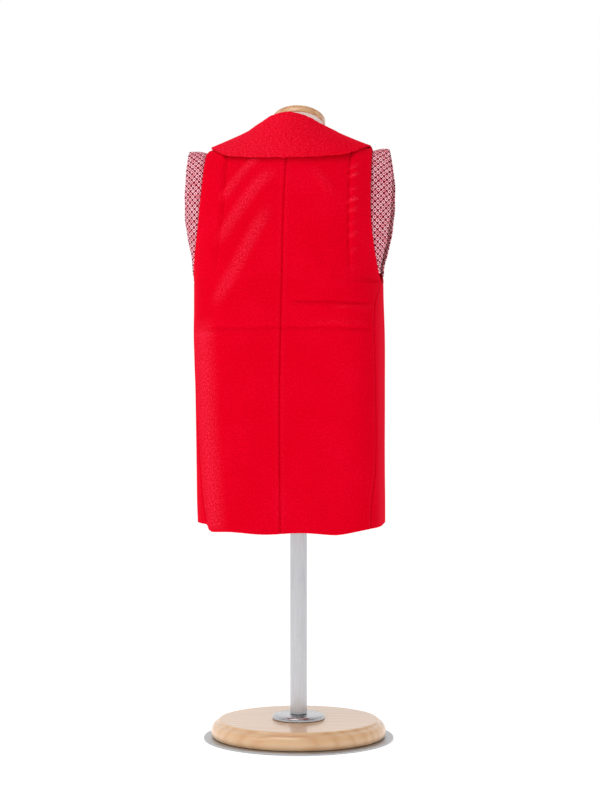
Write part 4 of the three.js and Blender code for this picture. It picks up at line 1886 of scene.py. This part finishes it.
@dataclass(frozen=True)
class KnitCover:
    """Cotton jersey, knitted and stretched over the form: matt, warm white, with soft ribs of stitches."""

    name: str = "cotton jersey, knitted"
    cotton: Stops = ((0.3, "f0e7dc"), (0.7, "f8f2ea"))
    stitch: float = 10.05       # mm between ribs; real ones are 0.6, too fine to show
    cloudy: float = 41.7        # mm between the faint cloudy patches
    relief: float = 0.4         # mm
    bump: float = 0.2
    roughness: float = 0.9
    sheen: float = 0.15

    def build(self) -> bpy.types.Material:
        """Make the material.

        Returns:
            The material.
        """
        material, tree, shader = new_material(self.name)
        place = add_node(tree, "ShaderNodeTexCoord", {}).outputs["Object"]
        ribs = add_node(
            tree, "ShaderNodeTexWave",
            {"Vector": place, "Scale": WAVE_BAND * repeats(self.stitch), "Distortion": 0.6, "Detail": 1.0},
            wave_type="BANDS", bands_direction="Z",
        ).outputs["Fac"]
        clouds = add_node(
            tree, "ShaderNodeTexNoise", {"Vector": place, "Scale": repeats(self.cloudy), "Detail": 3.0}
        ).outputs["Fac"]
        colour = add_node(tree, "ShaderNodeValToRGB", {"Fac": clouds}, self.cotton).outputs["Color"]
        tree.links.new(colour, shader.inputs["Base Color"])
        bump = add_node(
            tree, "ShaderNodeBump", {"Height": ribs, "Strength": self.bump, "Distance": self.relief * MM}
        ).outputs["Normal"]
        tree.links.new(bump, shader.inputs["Normal"])
        shader.inputs["Roughness"].default_value = self.roughness
        shader.inputs["Specular IOR Level"].default_value = 0.2
        shader.inputs["Sheen Weight"].default_value = self.sheen
        return material


@dataclass(frozen=True)
class Beech:
    """Beech, turned and varnished: pale, with short flecks and faint growth bands under a clear gloss."""

    name: str = "beech, turned and varnished"
    growth: Stops = ((0.0, "ecc295"), (0.62, "e8bb8c"), (1.0, "e4b384"))
    band: float = 13.82         # mm between growth bands
    fleck: float = 0.77         # mm
    along: float = 0.12         # both are drawn out along the wood
    fleck_low: float = 0.6
    fleck_high: float = 0.75
    fleck_share: float = 0.45
    relief: float = 0.2         # mm
    bump: float = 0.08
    roughness: float = 0.38
    coat: float = 0.7
    coat_roughness: float = 0.12

    def build(self) -> bpy.types.Material:
        """Make the material.

        Returns:
            The material.
        """
        material, tree, shader = new_material(self.name)
        place = add_node(tree, "ShaderNodeTexCoord", {}).outputs["Object"]
        drawn = add_node(
            tree, "ShaderNodeMapping", {"Vector": place, "Scale": (self.along, 1, 1)}
        ).outputs["Vector"]
        bands = add_node(
            tree, "ShaderNodeTexWave",
            {"Vector": drawn, "Scale": WAVE_BAND * repeats(self.band), "Distortion": 7.0, "Detail": 3.0,
             "Detail Scale": 1.6},
            wave_type="BANDS", bands_direction="Y",
        ).outputs["Fac"]
        grown = add_node(tree, "ShaderNodeValToRGB", {"Fac": bands}, self.growth).outputs["Color"]
        flecks = add_node(
            tree, "ShaderNodeTexNoise", {"Vector": drawn, "Scale": repeats(self.fleck), "Detail": 2.0}
        ).outputs["Fac"]
        mask = add_node(
            tree, "ShaderNodeMapRange",
            {0: flecks, 1: self.fleck_low, 2: self.fleck_high, 3: 0.0, 4: self.fleck_share},
        ).outputs["Result"]
        darkest = linear(self.growth[-1][1])
        colour = add_node(
            tree, "ShaderNodeMix", {0: mask, 6: grown, 7: darkest}, data_type="RGBA"
        ).outputs[2]
        tree.links.new(colour, shader.inputs["Base Color"])
        bump = add_node(
            tree, "ShaderNodeBump", {"Height": flecks, "Strength": self.bump, "Distance": self.relief * MM}
        ).outputs["Normal"]
        tree.links.new(bump, shader.inputs["Normal"])
        shader.inputs["Roughness"].default_value = self.roughness
        shader.inputs["Coat Weight"].default_value = self.coat
        shader.inputs["Coat Roughness"].default_value = self.coat_roughness
        return material


@dataclass(frozen=True)
class PlatedSteel:
    """Steel tube, drawn and nickel-plated: bright, with the faintest lengthwise draw marks."""

    name: str = "steel, drawn and plated"
    plating: Stops = ((0.3, "b4b4b8"), (0.7, "c4c4c6"))
    mark: float = 1.11          # mm between draw marks; real ones are finer than the render can show
    along: float = 0.03         # they run up the tube
    smoothest: float = 0.2
    roughest: float = 0.32

    def build(self) -> bpy.types.Material:
        """Make the material.

        Returns:
            The material.
        """
        material, tree, shader = new_material(self.name)
        place = add_node(tree, "ShaderNodeTexCoord", {}).outputs["Object"]
        drawn = add_node(
            tree, "ShaderNodeMapping", {"Vector": place, "Scale": (1, 1, self.along)}
        ).outputs["Vector"]
        marks = add_node(
            tree, "ShaderNodeTexNoise", {"Vector": drawn, "Scale": repeats(self.mark), "Detail": 2.0}
        ).outputs["Fac"]
        colour = add_node(tree, "ShaderNodeValToRGB", {"Fac": marks}, self.plating).outputs["Color"]
        tree.links.new(colour, shader.inputs["Base Color"])
        rough = add_node(
            tree, "ShaderNodeMapRange", {0: marks, 1: 0.3, 2: 0.7, 3: self.smoothest, 4: self.roughest}
        ).outputs["Result"]
        tree.links.new(rough, shader.inputs["Roughness"])
        shader.inputs["Metallic"].default_value = 1.0
        return material


@dataclass(frozen=True)
class SatinPlate:
    """Steel sheet, cut round and satin-finished: even grey, with fine marks and a soft reflection."""

    name: str = "steel sheet, satin-finished"
    satin: Stops = ((0.3, "b2b2b4"), (0.7, "c6c6c6"))
    mark: float = 1.43          # mm between marks; real ones are finer than the render can show
    along: float = 0.05         # they run from side to side
    relief: float = 0.1         # mm
    bump: float = 0.05
    metallic: float = 0.85      # a little under 1, so that it stays an even grey
    roughness: float = 0.42

    def build(self) -> bpy.types.Material:
        """Make the material.

        Returns:
            The material.
        """
        material, tree, shader = new_material(self.name)
        place = add_node(tree, "ShaderNodeTexCoord", {}).outputs["Object"]
        brushed = add_node(
            tree, "ShaderNodeMapping", {"Vector": place, "Scale": (self.along, 1, 1)}
        ).outputs["Vector"]
        marks = add_node(
            tree, "ShaderNodeTexNoise", {"Vector": brushed, "Scale": repeats(self.mark), "Detail": 3.0}
        ).outputs["Fac"]
        colour = add_node(tree, "ShaderNodeValToRGB", {"Fac": marks}, self.satin).outputs["Color"]
        tree.links.new(colour, shader.inputs["Base Color"])
        bump = add_node(
            tree, "ShaderNodeBump", {"Height": marks, "Strength": self.bump, "Distance": self.relief * MM}
        ).outputs["Normal"]
        tree.links.new(bump, shader.inputs["Normal"])
        shader.inputs["Metallic"].default_value = self.metallic
        shader.inputs["Roughness"].default_value = self.roughness
        return material


@dataclass(frozen=True)
class StudioFloor:
    """Matt white paper floor, lit through from below so that it stays white into the distance."""

    name: str = "matt white paper"
    colour: str = "f0f0f0"
    light: str = "ffffff"
    glow: float = 0.52
    roughness: float = 0.9

    def build(self) -> bpy.types.Material:
        """Make the material.

        Returns:
            The material.
        """
        material, tree, shader = new_material(self.name)
        shader.inputs["Base Color"].default_value = linear(self.colour)
        shader.inputs["Roughness"].default_value = self.roughness
        shader.inputs["Specular IOR Level"].default_value = 0.1
        shader.inputs["Emission Color"].default_value = linear(self.light)
        shader.inputs["Emission Strength"].default_value = self.glow
        return material


# Studio


@dataclass(frozen=True)
class Lamp:
    """A soft square light: its power in watts, and its side and place in metres."""

    name: str
    power: float
    size: float
    place: tuple[float, float, float]

    def hang(self, target: Vector) -> None:
        """Hang the light and point it.

        Args:
            target: what it points at, in metres.
        """
        data = bpy.data.lights.new(self.name, "AREA")
        data.energy, data.size = self.power, self.size
        lamp = bpy.data.objects.new(self.name, data)
        lamp.location = self.place
        lamp.rotation_euler = (target - Vector(self.place)).to_track_quat("-Z", "Y").to_euler()
        bpy.context.scene.collection.objects.link(lamp)


@dataclass(frozen=True)
class Dimming:
    """A stretch of the surround along one axis, over which its light changes from one level to another."""

    axis: str
    start: float
    end: float
    light_at_start: float
    light_at_end: float


@dataclass
class Studio:
    """The floor, the light and the camera at the photograph's place.

    axis_column is the image column of the stand's axis, and focal the focal length in pixels.
    """

    azimuth: float = 7.0
    height: float = 439.4
    distance: float = 2395.0
    axis_x: float = 10.0
    axis_column: float = 298.6
    focal: float = 1842.0
    film: float = 36.0
    floor_radius: float = 30.0
    floor_sides: int = 64
    aim: tuple[float, float, float] = (0, 0, 0.5)
    lamps: tuple[Lamp, ...] = (
        Lamp("key", 9.0, 1.0, (-2.2, -1.7, 2.1)),
        Lamp("fill", 5.0, 1.6, (0.5, -2.8, 2.1)),
        Lamp("top", 20.0, 1.4, (-0.5, -1.0, 2.6)),
    )
    to_the_right: Dimming = Dimming("X", 0.25, 0.95, 1.0, 0.4)
    behind_camera: Dimming = Dimming("Y", 0.5, -0.5, 1.0, 0.1)
    above_horizon: Dimming = Dimming("Z", 0.22, 0.34, 1.0, 0.0)

    def floor(self) -> None:
        """Lay the floor."""
        deselect_all()
        bpy.ops.mesh.primitive_circle_add(
            vertices=self.floor_sides, radius=self.floor_radius, fill_type="NGON", location=(0, 0, 0)
        )
        floor = bpy.context.object
        floor.name = "floor"
        floor.data.materials.append(StudioFloor().build())

    def camera(self) -> None:
        """Stand the camera where the photograph was taken from."""
        turn = math.radians(self.azimuth)
        right = Vector((math.cos(turn), math.sin(turn), 0))
        ahead = Vector((-math.sin(turn), math.cos(turn), 0))
        place = Vector((self.axis_x, 0, self.height)) - ahead * self.distance
        place += right * ((IMAGE_WIDTH / 2 - self.axis_column) * self.distance / self.focal)
        data = bpy.data.cameras.new("camera")
        data.sensor_fit = "VERTICAL"
        data.sensor_height = self.film
        data.lens = self.focal * self.film / IMAGE_HEIGHT
        data.clip_start = 0.05
        data.clip_end = 200
        camera = bpy.data.objects.new("camera", data)
        camera.location = place * MM
        camera.rotation_euler = (math.radians(90), 0, turn)
        bpy.context.scene.collection.objects.link(camera)
        bpy.context.scene.camera = camera

    def surround(self) -> None:
        """Light the set from all round: white at the horizon, dim to the right and behind the camera."""
        world = bpy.data.worlds.new("surround")
        world.use_nodes = True
        tree = world.node_tree
        direction = add_node(tree, "ShaderNodeTexCoord", {}).outputs["Generated"]
        parts = add_node(tree, "ShaderNodeSeparateXYZ", {0: direction})
        side, near, horizon = (
            add_node(
                tree, "ShaderNodeMapRange",
                {0: parts.outputs[dimming.axis], 1: dimming.start, 2: dimming.end,
                 3: dimming.light_at_start, 4: dimming.light_at_end},
                interpolation_type="SMOOTHSTEP",
            ).outputs["Result"]
            for dimming in (self.to_the_right, self.behind_camera, self.above_horizon)
        )
        dimmed = add_node(tree, "ShaderNodeMath", {0: side, 1: near}, operation="MULTIPLY").outputs["Value"]
        light = add_node(
            tree, "ShaderNodeMath", {0: dimmed, 1: horizon}, operation="MAXIMUM"
        ).outputs["Value"]
        tree.links.new(light, tree.nodes["Background"].inputs["Color"])
        tree.nodes["Background"].inputs["Strength"].default_value = 1.0
        bpy.context.scene.world = world

    def build(self) -> None:
        """Set up floor, camera and lights, and show colours as they are lit."""
        bpy.context.scene.view_settings.view_transform = "Standard"
        self.floor()
        self.camera()
        for lamp in self.lamps:
            lamp.hang(Vector(self.aim))
        self.surround()


def main() -> None:
    """Set up the studio, then build and dress the vest, its form and its stand, and report each piece."""
    logging.basicConfig(level=logging.INFO, format="%(name)s: %(message)s")
    Studio().build()
    crepe, dappled = RedCrepe().build(), DappledCrepe().build()
    # A darker copy of the beech, for the neck cap
    darker_growth = ((0.0, "deb080"), (0.62, "d8a574"), (1.0, "d09a69"))
    beech, darker_beech = Beech().build(), Beech("beech, turned, varnished and mellowed", darker_growth).build()
    shape = WornShape()
    pieces = Garment(shape).build(crepe)
    pieces.append(Collar(shape).build(crepe))
    pieces += [ArmholeStrip(shape, side).build(dappled) for side in Side]
    pieces += DressForm(shape).build(KnitCover().build(), darker_beech)
    pieces += Stand().build(beech, PlatedSteel().build(), SatinPlate().build())
    for piece in pieces:
        LOG.info("%s: %d faces, %s", piece.name, len(piece.data.polygons), piece.active_material.name)


if __name__ == "__main__":
    main()
